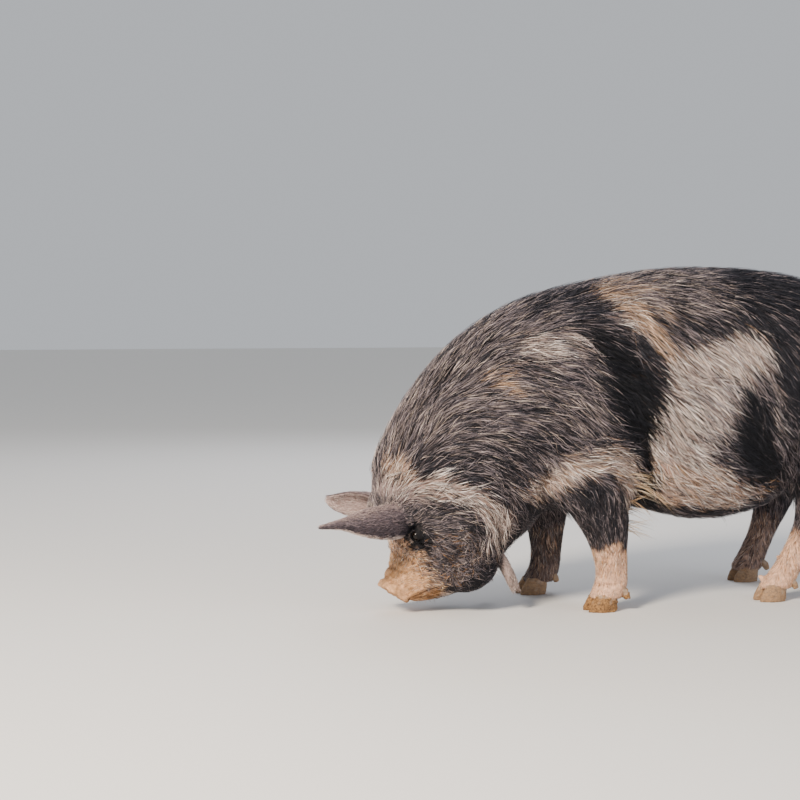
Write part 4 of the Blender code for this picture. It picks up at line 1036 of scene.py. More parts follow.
def buildTufts(name, centres, normals, sides, width, colours, bakePlace, shares):
    # one closed three-sided hair for each row of centres: a ring at each share of its length, then its tip
    count, rings = len(centres), len(shares) - 1
    perTuft = rings * 3 + 1
    points = np.zeros((count, perTuft, 3))
    for k, share in enumerate(shares[:-1]):
        half = (width * 0.5 * (1 - tuft["taper"] * share ** 1.5))[:, None]
        points[:, 3 * k] = centres[:, k] - sides * half
        points[:, 3 * k + 1] = centres[:, k] + normals * half * tuft["crown"]
        points[:, 3 * k + 2] = centres[:, k] + sides * half
    points[:, -1] = centres[:, -1]
    points[:, :, 2] = np.maximum(points[:, :, 2], tuft["floor"])
    faces = [(0, 1, 2)]
    for k in range(rings):
        for i in range(3):
            j = (i + 1) % 3
            if k == rings - 1:
                faces.append((3 * k + i, perTuft - 1, 3 * k + j))
            else:
                faces += [(3 * k + i, 3 * k + 3 + i, 3 * k + j), (3 * k + j, 3 * k + 3 + i, 3 * k + 3 + j)]
    corners = (np.array(faces)[None] + (np.arange(count) * perTuft)[:, None, None]).reshape(-1)
    mesh = bpy.data.meshes.new(name)
    mesh.vertices.add(count * perTuft)
    mesh.vertices.foreach_set("co", points.astype(np.float32).ravel())
    mesh.loops.add(len(corners))
    mesh.loops.foreach_set("vertex_index", corners.astype(np.int32))
    mesh.polygons.add(len(corners) // 3)
    mesh.polygons.foreach_set("loop_start", np.arange(0, len(corners), 3, dtype=np.int32))
    mesh.update(calc_edges=True)
    mesh.polygons.foreach_set("use_smooth", np.ones(len(corners) // 3, bool))
    along = np.repeat(np.array(shares[:-1]), 3).tolist() + [1.0]
    across = [0.0, 0.5, 1.0] * rings + [0.5]
    # painted shade along each hair, from its root to its tip
    shade = np.interp(along, *tuft["shade"])
    paintPoints(mesh, "hairColour", (colours[:, None] * shade[None, :, None]).reshape(-1, 3))
    patch = np.stack([np.array(across) - 0.5, np.array(along) - 0.5], 1) * tuft["bakePatch"]
    spots = (bakePlace[:, None] + patch[None]).reshape(-1, 2)[corners]
    mesh.uv_layers.new(name="OFBake").data.foreach_set("uv", spots.astype(np.float32).ravel())
    made = bpy.data.objects.new(name, mesh)
    scene.collection.objects.link(made)
    made.data.materials.append(materials["coatHair"])
    placeOnFrame(made)
    return made


def scatterRoots(mesh, density):
    # roots spread evenly over a mesh, with so many to the square metre
    mesh.calc_loop_triangles()
    flat = np.empty(len(mesh.loop_triangles) * 3, np.int32)
    mesh.loop_triangles.foreach_get("vertices", flat)
    corners = flat.reshape(-1, 3)
    points, normals = pointsOf(mesh), normalsOf(mesh)
    a, b, c = (points[corners[:, k]] for k in range(3))
    areas = np.linalg.norm(np.cross(b - a, c - a), axis=1) / 2
    want = np.cumsum(areas * density((a + b + c) / 3))
    count = int(want[-1])
    marks = (np.arange(count) + chance.random(count)) * want[-1] / count
    which = np.searchsorted(want, marks).clip(0, len(areas) - 1)
    r = np.sqrt(chance.random(count))[:, None]
    s = chance.random(count)[:, None]
    mix = (1 - r, r * (1 - s), r * s)
    roots = sum(m * points[corners[which, k]] for k, m in enumerate(mix))
    return roots, unit(sum(m * normals[corners[which, k]] for k, m in enumerate(mix)))


def onSkin(directions, normals):
    return unit(directions - normals * (directions * normals).sum(1)[:, None])


def layLocks(surface, roots):
    # middle lines of the locks that the hair gathers in: a line of stations down the lie from each root
    lines = [roots]
    turn = math.radians(locks["sweep"]) * roughly(roots, 0.030, 5.0)
    turn = turn + chance.normal(0, math.radians(locks["stray"]), len(roots))
    _, normals = snapTo(surface, roots)
    for step in range(locks["stations"] - 1):
        lie, _, curl = lieAt(lines[-1])
        turn = turn + curl * math.radians(locks["curl"]) * roughly(lines[-1], 0.014, 6.0)
        along = swing(onSkin(lie, normals), normals, turn)
        onward, normals = snapTo(surface, lines[-1] + along * locks["spacing"])
        lines.append(onward)
    return np.stack(lines, 1)


def lockOf(lines, roots):
    # the lock and the station that each root belongs to
    tree = KDTree(lines.shape[0] * lines.shape[1])
    for i, point in enumerate(lines.reshape(-1, 3)):
        tree.insert(point, i)
    tree.balance()
    found = np.array([tree.find(root)[1] for root in roots])
    return found // lines.shape[1], found % lines.shape[1]


def layHair(surface, roots, normals, lines, lock, station, coat, layer):
    # the middle line of each hair, bent over the skin and drawn in to its lock, and the direction across it
    count = len(roots)
    _, length, curl = lieAt(roots)
    length = length * layer["length"] * chance.uniform(0.75, 1.20, count)
    last = lines.shape[1] - 1
    here = lines[lock, np.minimum(station, last - 1)]
    along = onSkin(lines[lock, np.minimum(station, last - 1) + 1] - here, normals)
    loose = chance.normal(0, math.radians(coat["loose"]), count) + curl * chance.normal(0, 0.35, count)
    along = swing(along, normals, loose)
    middles, outMiddle = snapTo(surface, roots + along * (length * 0.5)[:, None])
    further = onSkin(along, outMiddle)
    bend = curl * chance.normal(0, 0.6, count)
    further = unit(further + np.cross(outMiddle, further) * bend[:, None])
    tips = middles + further * (length * 0.5)[:, None]
    # where the lock's own line is as far on as the tip
    reach = station + length / locks["spacing"]
    low = np.clip(reach.astype(int), 0, last - 1)
    ahead = lines[lock, low] + (lines[lock, low + 1] - lines[lock, low]) * (reach - low)[:, None]
    draw = coat["draw"] * chance.uniform(0.5, 1.2, count)[:, None]
    tips, outTip = snapTo(surface, tips + (ahead - tips) * draw)
    rise = coat["lift"] * layer["lift"] * (0.55 + 0.9 * locks["height"][lock])
    rise = rise * chance.uniform(0.7, 1.25, count) * np.clip(length / 0.030, 0.25, 1)
    start = roots - normals * 0.0012
    middle = middles + outMiddle * (rise * 0.85)[:, None]
    tip = tips + outTip * (rise * 1.05)[:, None]
    centres = []
    for share in layer["shares"]:
        weights = 2 * (share - 0.5) * (share - 1), 4 * share * (1 - share), 2 * share * (share - 0.5)
        centres.append(weights[0] * start + weights[1] * middle + weights[2] * tip)
    return np.stack(centres, 1), unit(np.cross(normals, along)), np.clip(length / 0.020, 0.5, 1)


# hairs to the square metre, their width, how far they stand off, how loosely they lie in degrees,
# how far locks draw them in
coats = {
    "Face": {"dense": 190000, "width": 0.0010, "lift": 0.0028, "loose": 9, "draw": 0.35},
    "Neck": {"dense": 78000, "width": 0.00138, "lift": 0.0072, "loose": 4, "draw": 0.50},
    "Shoulder": {"dense": 74000, "width": 0.00146, "lift": 0.0078, "loose": 4, "draw": 0.50},
    "Flank": {"dense": 74000, "width": 0.00146, "lift": 0.0080, "loose": 4, "draw": 0.50},
    "Rump": {"dense": 50000, "width": 0.0018, "lift": 0.0085, "loose": 4, "draw": 0.50},
    "ForeLegs": {"dense": 118000, "width": 0.0010, "lift": 0.0024, "loose": 8, "draw": 0.30},
    "HindLegs": {"dense": 118000, "width": 0.0010, "lift": 0.0024, "loose": 8, "draw": 0.30},
}
layers = {
    # share of all the hairs, how long and high they are, how wide, where their rings stand
    "under": {"share": 0.36, "length": 0.85, "lift": 0.62, "width": 0.85, "shares": (0, 1)},
    "over": {"share": 0.64, "length": 1.25, "lift": 1.0, "width": 1.0, "shares": (0, 0.5, 1)},
}
locks = {
    "dense": 7200,           # to the square metre where the coat has 50000 hairs
    "stations": 16,
    "spacing": 0.0045,
    "sweep": 10,             # degrees that whole neighbourhoods of locks turn off the lie
    "stray": 4,              # degrees that each lock turns off its neighbours
    "curl": 38,              # degrees that a lock turns at each station where the hair curls most
    "agree": 0.50,           # share of the hairs that take their lock's tone
}
# where the coat's pieces meet, seen from the side
headPlane = ((-0.486, 0.285), (-0.172, 0.112))
neckPlane = ((-0.215, 0.630), (-0.130, 0.205))
flankFrom, rumpFrom = 0.14, 0.42


def aheadOf(plane, points):
    a, b = np.array(plane[0]), np.array(plane[1])
    step = (b - a) / np.linalg.norm(b - a)
    return (points[:, 0] - a[0]) * step[1] - (points[:, 2] - a[1]) * step[0]


def regionsAt(points):
    x, z, away = points[:, 0], points[:, 2], np.abs(points[:, 1])
    names = np.where(x < flankFrom, "Shoulder", np.where(x < rumpFrom, "Flank", "Rump")).astype(object)
    names[aheadOf(neckPlane, points) > 0] = "Neck"
    names[(aheadOf(headPlane, points) > 0) & (x < -0.13)] = "Face"
    legLine = 0.225 + 0.4 * np.clip(away - 0.10, -0.06, 0.08)
    names[(z < legLine) & (away > 0.05) & (x > -0.13) & (x < 0.10)] = "ForeLegs"
    names[(z < legLine) & (away > 0.05) & (x > 0.36)] = "HindLegs"
    return names


def bakePlaces(points, region):
    # an unwrap of the skin's own shape: along the body and round it
    x, y, z = points.T
    if region.endswith("Legs"):
        u, v = np.zeros(len(points)), z
        for n, (rows, side, footX, footY, _) in enumerate(legs.values()):
            mine = (np.sign(y) == side) & (np.abs(x - footX) < 0.23)
            middle = np.interp(z, [r[0] for r in rows[::-1]], [r[1] for r in rows[::-1]]) + footX
            turn = np.arctan2(y - footY, x - middle) / math.tau + 0.5
            u = np.where(mine, turn + 1.04 * (n % 2), u)
    elif region in ("Face", "Neck"):
        rows = np.array(stationsOf(neckRows, 60))
        centre = (rows[:, 0:2] + rows[:, 2:4]) / 2
        crest = rows[:, 0:2] - centre
        crest /= np.linalg.norm(crest, axis=1)[:, None]
        onward = np.stack([-crest[:, 1], crest[:, 0]], 1)
        flat = points[:, (0, 2)]
        offset = flat[:, None] - centre[None]
        apart = np.abs((offset * onward[None]).sum(2)) + 0.3 * np.linalg.norm(offset, axis=2)
        near = np.argmin(apart, axis=1)
        u = travelAlong(centre)[near]
        v = np.arctan2(np.abs(y), ((flat - centre[near]) * crest[near]).sum(1))
    else:
        u, v = x, np.arctan2(np.abs(y), z - 0.46)
    place = np.stack([u, v], 1)
    low, high = place.min(0), place.max(0)
    return 0.03 + 0.94 * (place - low) / np.maximum(high - low, 1e-6)


def coatDensity(points):
    dense = np.array([coats[name]["dense"] for name in regionsAt(points)], float)
    dense[points[:, 2] < 0.030] = 0
    _, out = snoutAxes()
    before = (points - np.array(snout["middle"])) @ np.array(out)
    dense *= 0.70 + 0.30 * ramp(-before, 0.018, 0.060)          # thinner hair on the muzzle
    dense[before > -0.016] = 0                                   # none on the snout's disc
    places, away = points[:, (0, 2)], np.abs(points[:, 1])
    # more in the hollow round the eye, which folds in, and little on the groin
    hollow = strokeMask(places, ((-0.444, 0.200, 0.010), (-0.396, 0.148, 0.012)), 0.008)
    dense *= 1 + 0.5 * hollow * (away > 0.05)
    groin = strokeMask(places, ((0.36, 0.20, 0.02), (0.46, 0.24, 0.03)), 0.03) * (away < 0.11)
    return dense * (1 - 0.7 * groin)


def bareSpots(roots, sockets):
    # true where hair may grow: off the eyes and the lips
    keep = np.ones(len(roots), bool)
    for centre, out, forward, across in sockets.values():
        offset = roots - np.array(centre)
        above = np.abs(offset @ np.array(forward)) > eyes["hairless"][0]
        aside = np.abs(offset @ np.array(across)) > eyes["hairless"][1]
        keep &= above | aside | (offset @ np.array(out) < -0.02)
    line = np.array(stationsOf(mouthLine, 40))
    folded = foldTo(roots, 1)
    near = folded[:, 2] < 0.12
    gap = np.full(len(roots), 1.0)
    gap[near] = np.min(np.linalg.norm(folded[near, None] - line[None], axis=2), axis=1)
    return keep & (gap > 0.0075)


def growCoat(body, surface, sockets):
    seeds, _ = scatterRoots(body.data, lambda p: locks["dense"] * coatDensity(p) / 50000)
    lines = layLocks(surface, snapTo(surface, seeds)[0])
    locks["height"] = chance.random(len(lines))
    lockPick, lockShade = chance.random(len(lines)), chance.normal(0, 0.16, len(lines))
    print("coat locks laid:", len(lines))
    roots, normals = scatterRoots(body.data, coatDensity)
    roots = dropTo(surface, roots, normals)
    keep = bareSpots(roots, sockets)
    roots, normals = roots[keep], normals[keep]
    lock, station = lockOf(lines, roots)
    regions = regionsAt(roots)
    # some hairs take their lock's tone, the others choose for themselves
    agrees = chance.random(len(roots)) < locks["agree"]
    lockTone = np.clip(lockPick[lock] + chance.normal(0, 0.05, len(roots)), 0, 1)
    pick = np.where(agrees, lockTone, chance.random(len(roots)))
    colours = tuftColours(roots, pick, lockShade[lock])
    under = chance.random(len(roots)) < layers["under"]["share"]
    print("coat rooted:", len(roots), "hairs")
    made = []
    for region, coat in coats.items():
        for sideName, side in (("Left", -1), ("Right", 1)):
            mine = (regions == region) & (np.where(roots[:, 1] < 0, -1, 1) == side)
            pair = []
            for layer, chosen in ((layers["under"], under), (layers["over"], ~under)):
                found = np.flatnonzero(mine & chosen)
                width = coat["width"] * layer["width"] * chance.uniform(0.75, 1.25, len(found))
                centres, sides, fine = layHair(surface, roots[found], normals[found], lines, lock[found],
                                               station[found], coat, layer)
                pair.append(buildTufts("coat", centres, normals[found], sides, width * fine, colours[found],
                                       bakePlaces(roots[found], region), layer["shares"]))
            made.append(joinAll(f"coat{region}{sideName}", pair))
    return made


# hair of the thin parts: how many, length, width, how far it stands off, tones
thinHair = {
    "ears": {"count": 6200, "length": 0.016, "width": 0.0010, "lift": 0.0016},
    "wattles": {"count": 1100, "length": 0.010, "width": 0.0009, "lift": 0.0010,
                "colours": ("#B3A199", "#94847D", "#CBBAB1", "#7A6C68")},
    "tail": {"count": 1500, "length": 0.030, "width": 0.0013, "lift": 0.0030,
             "colours": ("#2A2A30", "#3A373B", "#5A5050")},
}
# tones across each ear's back from its upper edge to its lower one, then its rim's and its hollow's; on the
# left ear this run from light above to dark below is painted light and shade, and its pale rim a painted
# highlight
earTones = {
    "left": (("#A38F8B", "#7D6C6F", "#BBA59C"), ("#6E6166", "#8D7E80", "#534A50"),
             ("#443C42", "#5A5056", "#2F2A2E"), ("#C9B6AE", "#9C8983", "#DCCBC2"), ("#4A4043", "#6A5C5D")),
    "right": (("#8A7A7C", "#B3A09D", "#665A5F"), ("#C2AFAA", "#AA9692", "#DAC9C2"), ("#BBA6A0", "#A08C88"),
              ("#D8C8C2", "#B8A6A0"), ("#C9B0AA", "#B39A95", "#DECAC2")),
}


def pickColours(hexes, count):
    some = coloursOf(hexes)[chance.integers(0, len(hexes), count)]
    return some * chance.normal(1, 0.10, count).clip(0.7, 1.3)[:, None]


def earHair(which, surface):
    # hair along the back and, thinner, along the hollow of an ear, and from the poll over its root
    settings = thinHair["ears"]
    count = settings["count"]
    sheets = [np.array([[tuple(p) for p in row] for row in rows]) for rows in earSheets(which)]
    onBack = chance.random(count) < 0.76
    t, u = chance.random(count) * 0.97, chance.random(count)
    whole = np.linalg.norm(np.diff(sheets[0][:, earAcross // 2], axis=0), axis=1).sum()
    fromPoll = chance.random(count) < 0.20
    onBack |= fromPoll
    t = np.where(fromPoll, chance.uniform(-0.14, 0.16, count), t)
    reach = settings["length"] * chance.uniform(0.7, 1.2, count) * (1.25 - 0.6 * t)
    reach = reach * np.where(fromPoll, 1.5, 1.0) / whole
    drift = chance.normal(0, 0.05, count) + 0.05 * np.sin(7 * u + 5 * t)
    backwards = unit(sheets[0][0] - sheets[0][2])

    def onSheet(tt, uu):
        # the place on the back or in the hollow; below 0 it lies behind the ear's root
        row, col = np.clip(tt, 0, 0.9999) * earSteps, np.clip(uu, 0, 0.9999) * earAcross
        i, k = row.astype(int), col.astype(int)
        a, b = (row - i)[:, None], (col - k)[:, None]
        spots = []
        for sheet in sheets:
            near = (1 - b) * sheet[i, k] + b * sheet[i, k + 1]
            far = (1 - b) * sheet[i + 1, k] + b * sheet[i + 1, k + 1]
            spots.append((1 - a) * near + a * far)
        behind = backwards[k] * (np.clip(-tt, 0, 1) * whole)[:, None]
        return np.where(onBack[:, None], spots[0], spots[1]) + behind

    ends = [onSheet(t + reach * share, u + drift * share) for share in (0, 0.5, 1)]
    past = np.clip(t + reach - 1, 0, 1)[:, None] * whole
    ends[2] = ends[2] + unit(ends[2] - ends[0]) * past
    out = unit(np.cross(onSheet(t, u + 0.03) - onSheet(t, u - 0.03), ends[1] - ends[0]))
    i, k = (np.clip(t, 0, 1) * earSteps).astype(int), (u * earAcross).astype(int)
    out *= np.sign((out * (sheets[0][i, k] - sheets[1][i, k])).sum(1) * np.where(onBack, 1, -1))[:, None]
    # the poll's hair stands on the skin and lies over the ear's root
    poll = np.flatnonzero(fromPoll)
    for n in range(3):
        ends[n][poll], turned = snapTo(surface, ends[n][poll] + out[poll] * 0.004)
        if n == 1:
            out[poll] = turned
    lift = settings["lift"] * chance.uniform(0.5, 1.4, count)[:, None] * np.where(fromPoll, 2.0, 1.0)[:, None]
    centres = np.stack([ends[0] - out * 0.0008, ends[1] + out * lift * 0.8, ends[2] + out * lift], 1)
    # u runs from the rear edge to the front one, which hangs lowest
    upper, middle, lower, rim, hollow = (pickColours(hexes, count) for hexes in earTones[which])
    place = u + chance.normal(0, 0.07, count)
    # on the left ear: painted light above, painted shade towards the lower edge, a painted highlight on the
    # rim
    colours = np.where((place < 0.34)[:, None], upper, np.where((place < 0.62)[:, None], middle, lower))
    colours = np.where((u > 0.90)[:, None], rim, colours)
    colours = np.where((onBack | (u > 0.93))[:, None], colours, hollow)
    if which == "left":
        ruff = tuftColours(ends[0][poll], chance.random(len(poll)), 0.0)
        colours[poll] = np.where((t[poll] < 0.02)[:, None], ruff, colours[poll])
    width = settings["width"] * chance.uniform(0.7, 1.3, count)
    places = np.stack([0.10 + 0.87 * t, np.where(onBack, 0.03, 0.515) + 0.455 * u], 1)
    return buildTufts("ear", centres, out, unit(np.cross(out, ends[2] - ends[0])), width, colours, places,
                      (0, 0.5, 1))


def tubeHair(kind, path, radii):
    # hair lying along a wattle or the tail, longer towards the tail's end
    settings = thinHair[kind]
    count = settings["count"]
    rows = np.array(stationsOf([(*p, r) for p, r in zip(path, radii)], 60))
    travelled = travelAlong(rows[:, :3])
    t = 0.06 + 0.93 * chance.random(count) ** (0.7 if kind == "tail" else 1.0)
    spin = chance.uniform(0, math.tau, count)
    length = settings["length"] * chance.uniform(0.7, 1.2, count)
    if kind == "tail":
        length *= 1 + 2.2 * ramp(t, 0.62, 0.97)

    def rowsAt(way):
        return np.stack([np.interp(way, travelled, column) for column in rows.T], 1)

    def at(way):
        # middle line, radius, the way out of it and the way along it
        inside = np.clip(way, 0, travelled[-1])
        spot = rowsAt(inside)
        ahead, behind = (rowsAt(np.clip(inside + move, 0, travelled[-1])) for move in (0.004, -0.004))
        along = unit(ahead[:, :3] - behind[:, :3])
        side = unit(np.cross(along, (0.0, 1.0, 0.02)))
        out = side * np.cos(spin)[:, None] + np.cross(along, side) * np.sin(spin)[:, None]
        return spot[:, :3] + along * (way - inside)[:, None], spot[:, 3], out, along

    way = t * travelled[-1]
    first, wideA, outA, along = at(way)
    second, wideB, outB, _ = at(way + length / 2)
    third, wideC, outC, _ = at(way + length)
    lift = settings["lift"] * chance.uniform(0.4, 1.4, count)
    centres = np.stack([first + outA * (wideA - 0.001)[:, None],
                        second + outB * (wideB + lift * 0.8)[:, None],
                        third + outC * (wideC * 0.9 + lift)[:, None]], 1)
    if kind == "tail":
        centres[:, 2] += chance.normal(0, 1, (count, 3)) * (length * 0.05)[:, None]
    width = settings["width"] * chance.uniform(0.7, 1.3, count)
    places = np.stack([0.03 + 0.94 * t, 0.03 + 0.94 * spin / math.tau], 1)
    return buildTufts(kind, centres, outA, unit(np.cross(outA, along)), width,
                      pickColours(settings["colours"], count), places, (0, 0.5, 1))


# loose strands: how many, how many to a lock, spread of their roots about the line, first direction,
# length, how far they sag, width, how far they stray, tones, line of their roots in millimetres
looseStrands = {
    "elbow": (42, 3, 0.011, (0.88, -0.50, 0.26), 0.100, 0.048, 0.0010, 0.26,
              ("#F0D6B2", "#DDB98F", "#FBEBD2", "#A58465"),
              ((40, -176, 306), (50, -174, 282), (54, -168, 256), (48, -160, 232))),
    "forearm": (48, 3, 0.004, (0.95, -0.10, -0.12), 0.062, 0.012, 0.0009, 0.26,
                ("#E2C29C", "#B99268", "#6A5A50"), ((46, -160, 225), (50, -156, 198), (46, -152, 172))),
    "elbowFar": (52, 4, 0.006, (0.90, 0.26, 0.16), 0.064, 0.056, 0.0013, 0.30,
                 ("#C9B39C", "#B59F8B", "#8A776D"),
                 ((-20, 176, 330), (-6, 178, 305), (2, 172, 272), (-4, 162, 236))),
    "chin": (56, 1, 0.014, (0.75, 0.0, -0.6), 0.014, 0.000, 0.0006, 0.30,
             ("#857570", "#A89690", "#D2C0B5"), ((-385, -36, 34), (-350, 0, 34), (-315, 36, 48))),
    "belly": (360, 4, 0.016, (0.90, 0.0, -0.25), 0.034, 0.006, 0.0011, 0.20,
              ("#D2C0B5", "#9A887D", "#3A373B"),
              ((110, -80, 215), (200, 60, 200), (290, -60, 196), (380, 70, 212))),
}


def makeStrands(name, surface):
    count, together, spread, aim, length, sag, width, stray, hexes, line = looseStrands[name]
    groups = count // together
    group = chance.integers(0, groups, count)

    def perGroup(size):
        return chance.normal(0, size, (groups, 3))[group]

    place = chance.random(groups)[group]
    near = np.array([between(metres(line), p) for p in place]) + perGroup(spread)
    roots, normals = snapTo(surface, near + chance.normal(0, 0.0012, (count, 3)))
    long = length * chance.uniform(0.55, 1.15, groups)[group] * chance.uniform(0.8, 1.1, count)
    along = unit(np.array(aim) + normals * 0.12 + perGroup(stray) + chance.normal(0, 0.06, (count, 3)))
    turn = unit(along + perGroup(stray))
    drop = np.array((0, 0, 1)) * (sag * long / length)[:, None]
    centres = []
    shares = (0, 0.3, 0.65, 1)
    for share in shares:
        centres.append(roots - normals * 0.001 + along * (long * share * (1 - share * 0.5))[:, None]
                       + turn * (long * 0.5 * share ** 2)[:, None] - drop * share ** 2)
    sides = unit(np.cross(normals, along))
    width = width * chance.uniform(0.7, 1.2, count)
    colours = pickColours(hexes, count)
    places = np.stack([0.03 + 0.94 * place, 0.05 + 0.9 * chance.random(count)], 1)
    return buildTufts("strands", np.stack(centres, 1), unit(np.cross(along, sides)), sides, width, colours,
                      places, shares)


lashes = {
    "count": 34,
    "rim": (0.0135, 0.0072),         # half width and height of the curve that they stand on
    "out": 0.0110,
    "length": (0.007, 0.013),
    "width": 0.0007,
    "colours": ("#2A2A30", "#857570", "#CDB9AA"),
}


def makeLashes(sockets):
    # upper lashes, fanned out and drooping a little
    made = []
    count = lashes["count"]
    for side, where in sockets.items():
        centre, out, forward, across = (np.array(v) for v in where)
        up = -forward * 0.25 + across * (1 if across[0] < 0 else -1)
        angle = np.linspace(-1.0, 1.0, count) + chance.normal(0, 0.04, count)
        roots = (centre + out * lashes["out"] + forward * (np.sin(angle) * lashes["rim"][0])[:, None]
                 + unit(up[None])[0] * (np.cos(angle) * lashes["rim"][1])[:, None])
        fan = chance.normal(0, 0.10, (count, 3))
        aims = unit(out * 0.75 + up * 0.55 + np.array((0, 0, -0.45)) + fan)
        long = chance.uniform(*lashes["length"], count)[:, None]
        centres = np.stack([roots, roots + aims * long * 0.5, roots + aims * long + (0, 0, -0.0015)], 1)
        sides = unit(np.cross(np.repeat(out[None], count, 0), aims))
        places = np.stack([(0.27 if side < 0 else 0.73) + 0.22 * angle,
                           0.5 + 0.4 * np.linspace(-1, 1, count)], 1)
        made.append(buildTufts("lash", centres, unit(np.cross(aims, sides)), sides,
                               np.full(count, lashes["width"]), pickColours(lashes["colours"], count),
                               places, (0, 0.5, 1)))
    return joinAll("lashes", made)


# skin of the thin parts: its tone, and for an ear its rim's tone; the left ear's paler rim is a painted
# highlight
thinSkin = {
    "left": ("#5B4E50", "#B09088"),
    "right": ("#A58F87", "#6A5A5B"),
    "wattle": ("#A8928A",),
    "tail": ("#3C3536",),
}


def paintSkin(skin, sockets):
    points = pointsOf(skin.data)
    colours = skinColours(points)
    for which in ears:
        backRows, hollowRows = earSheets(which)
        tree = KDTree(len(backRows) * len(backRows[0]))
        for i, row in enumerate(backRows):
            for k, spot in enumerate(row):
                tree.insert((spot + hollowRows[i][k]) / 2, i * 100 + k)
        tree.balance()
        side = -1 if which == "left" else 1
        byEar = (points[:, 0] < -0.40) & (points[:, 2] > 0.14) & (np.sign(points[:, 1]) == side)
        near = np.flatnonzero(byEar)
        found = [tree.find(point)[1:] for point in points[near]]
        on = ramp(np.array([f[1] for f in found]), 0.009, 0.005)
        rim = ramp(np.abs(np.array([f[0] % 100 for f in found]) / earAcross - 0.5), 0.40, 0.50)
        main, edge = coloursOf(thinSkin[which])
        # on the left ear the paler rim is a painted highlight
        tone = main + (edge - main) * rim[:, None]
        colours[near] += on[:, None] * (tone - colours[near])
    for kind, path, reach in (("wattle", wattlePath, 0.016), ("tail", tailPath[1:], 0.024)):
        line = np.array(stationsOf(path, 40))
        folded = foldTo(points, 1) if kind == "wattle" else points
        near = np.flatnonzero(np.abs(folded - line.mean(0)).max(1) < 0.2)
        gap = np.linalg.norm(folded[near, None] - line[None], axis=2).min(1)
        on = ramp(gap, reach, reach * 0.8)
        colours[near] += on[:, None] * (coloursOf(thinSkin[kind]) - colours[near])
    # painted shade: the nostrils are darkened inside
    _, out = snoutAxes()
    offset = points - np.array(snout["middle"])
    before = offset @ np.array(out)
    fromNostril = np.linalg.norm(np.abs(offset) - (0, snout["nostril"], 0), axis=1)
    colours *= 1 - 0.86 * (ramp(before, -0.0015, -0.005) * ramp(fromNostril, 0.0145, 0.0105))[:, None]
    paintPoints(skin.data, "skinColour", colours)
    # the muzzle is bare, and the lids are finely creased
    bare = ramp(before, -0.110, -0.030) * ramp(points[:, 0], -0.37, -0.42)
    fromEye = np.linalg.norm(np.abs(points) - np.abs(np.array(sockets[1][0])), axis=1)
    crinkled = 0.45 * ramp(fromEye, 0.030, 0.018) * (points[:, 0] < -0.3)
    markPoints(skin.data, "bareSkin", np.maximum(bare, crinkled))
    skin.data.materials.clear()
    skin.data.materials.append(materials["pigSkin"])
    selectOnly(skin)
    bpy.ops.object.shade_smooth()


hooves = {
    # height, half length, half width and setback of each ring of a toe, from the sole up
    "rings": ((0.0000, 0.0290, 0.0136, 0.0000), (0.0030, 0.0308, 0.0150, 0.0000),
              (0.0110, 0.0298, 0.0152, 0.0016), (0.0200, 0.0278, 0.0149, 0.0042),
              (0.0290, 0.0252, 0.0140, 0.0074), (0.0370, 0.0212, 0.0116, 0.0094)),
    "spread": 0.0168,        # from the foot's middle to each toe's
    "ahead": -0.016,
    "dewclaw": ((-0.014, 0.000, 0.052), (-0.004, 0.001, 0.043), (0.003, 0.002, 0.034), (0.006, 0.002, 0.027)),
    "dewclawRadii": (0.0070, 0.0082, 0.0076, 0.0052),
    "dewclawAt": (0.034, 0.019),
    "soleEdge": 0.0012,
    "narrower": 0.30,        # in front
    "closeIn": 0.0022,       # the two toes close in front
    # how much dried mud each foot carries
    "mud": {"leg_fore_left": 1.0, "leg_fore_right": 0.5, "leg_hind_left": 0.6, "leg_hind_right": 0.5},
}


def makeToe(footX, footY, side):
    # horn drawn up ring by ring from a flat sole, narrower in front
    first = hooves["rings"][0]
    bpy.ops.object.select_all(action="DESELECT")
    bpy.ops.mesh.primitive_circle_add(vertices=32, radius=1.0, fill_type="NGON")
    toe = bpy.context.object
    toe.scale = (first[1], first[2], 1)
    bpy.ops.object.transform_apply(location=False, rotation=False, scale=True)
    bpy.ops.object.mode_set(mode="EDIT")
    bpy.ops.mesh.select_all(action="SELECT")
    for low, high in zip(hooves["rings"], hooves["rings"][1:]):
        rise = (high[3] - low[3], 0, high[0] - low[0])
        bpy.ops.mesh.extrude_region_move(TRANSFORM_OT_translate={"value": rise})
        grow = (high[1] / low[1], high[2] / low[2], 1)
        bpy.ops.transform.resize(value=grow, center_override=(high[3], 0, high[0]))
    bpy.ops.mesh.inset(thickness=0.004)
    bpy.ops.mesh.select_all(action="SELECT")
    bpy.ops.mesh.normals_make_consistent(inside=False)
    bpy.ops.object.mode_set(mode="OBJECT")
    addModifier(toe, "BEVEL", width=hooves["soleEdge"], segments=2, angle_limit=math.radians(50))
    addModifier(toe, "SUBSURF", levels=1, render_levels=1)
    applyAll(toe)
    points = pointsOf(toe.data)
    front = ramp(-points[:, 0], 0.000, 0.032)
    points[:, 1] *= 1 - hooves["narrower"] * front
    points[:, 1] += side * hooves["closeIn"] * front
    # growth rings across the horn, and wear at the sole's rim
    wall = ramp(points[:, 2], 0.002, 0.006)
    rings = np.sin(points[:, 2] * 1900 + 0.8 * roughly(points, 0.012, 3.0))
    away = unit(points * (1, 1, 0) - (0.004, 0, 0))
    points += away * (wall * (0.00010 * rings + 0.00055 * roughly(points, 0.008, 9.0 + side)))[:, None]
    points[:, 2] = np.maximum(points[:, 2], 0.0)
    setPoints(toe.data, points + (footX + hooves["ahead"], footY, 0))
    return toe


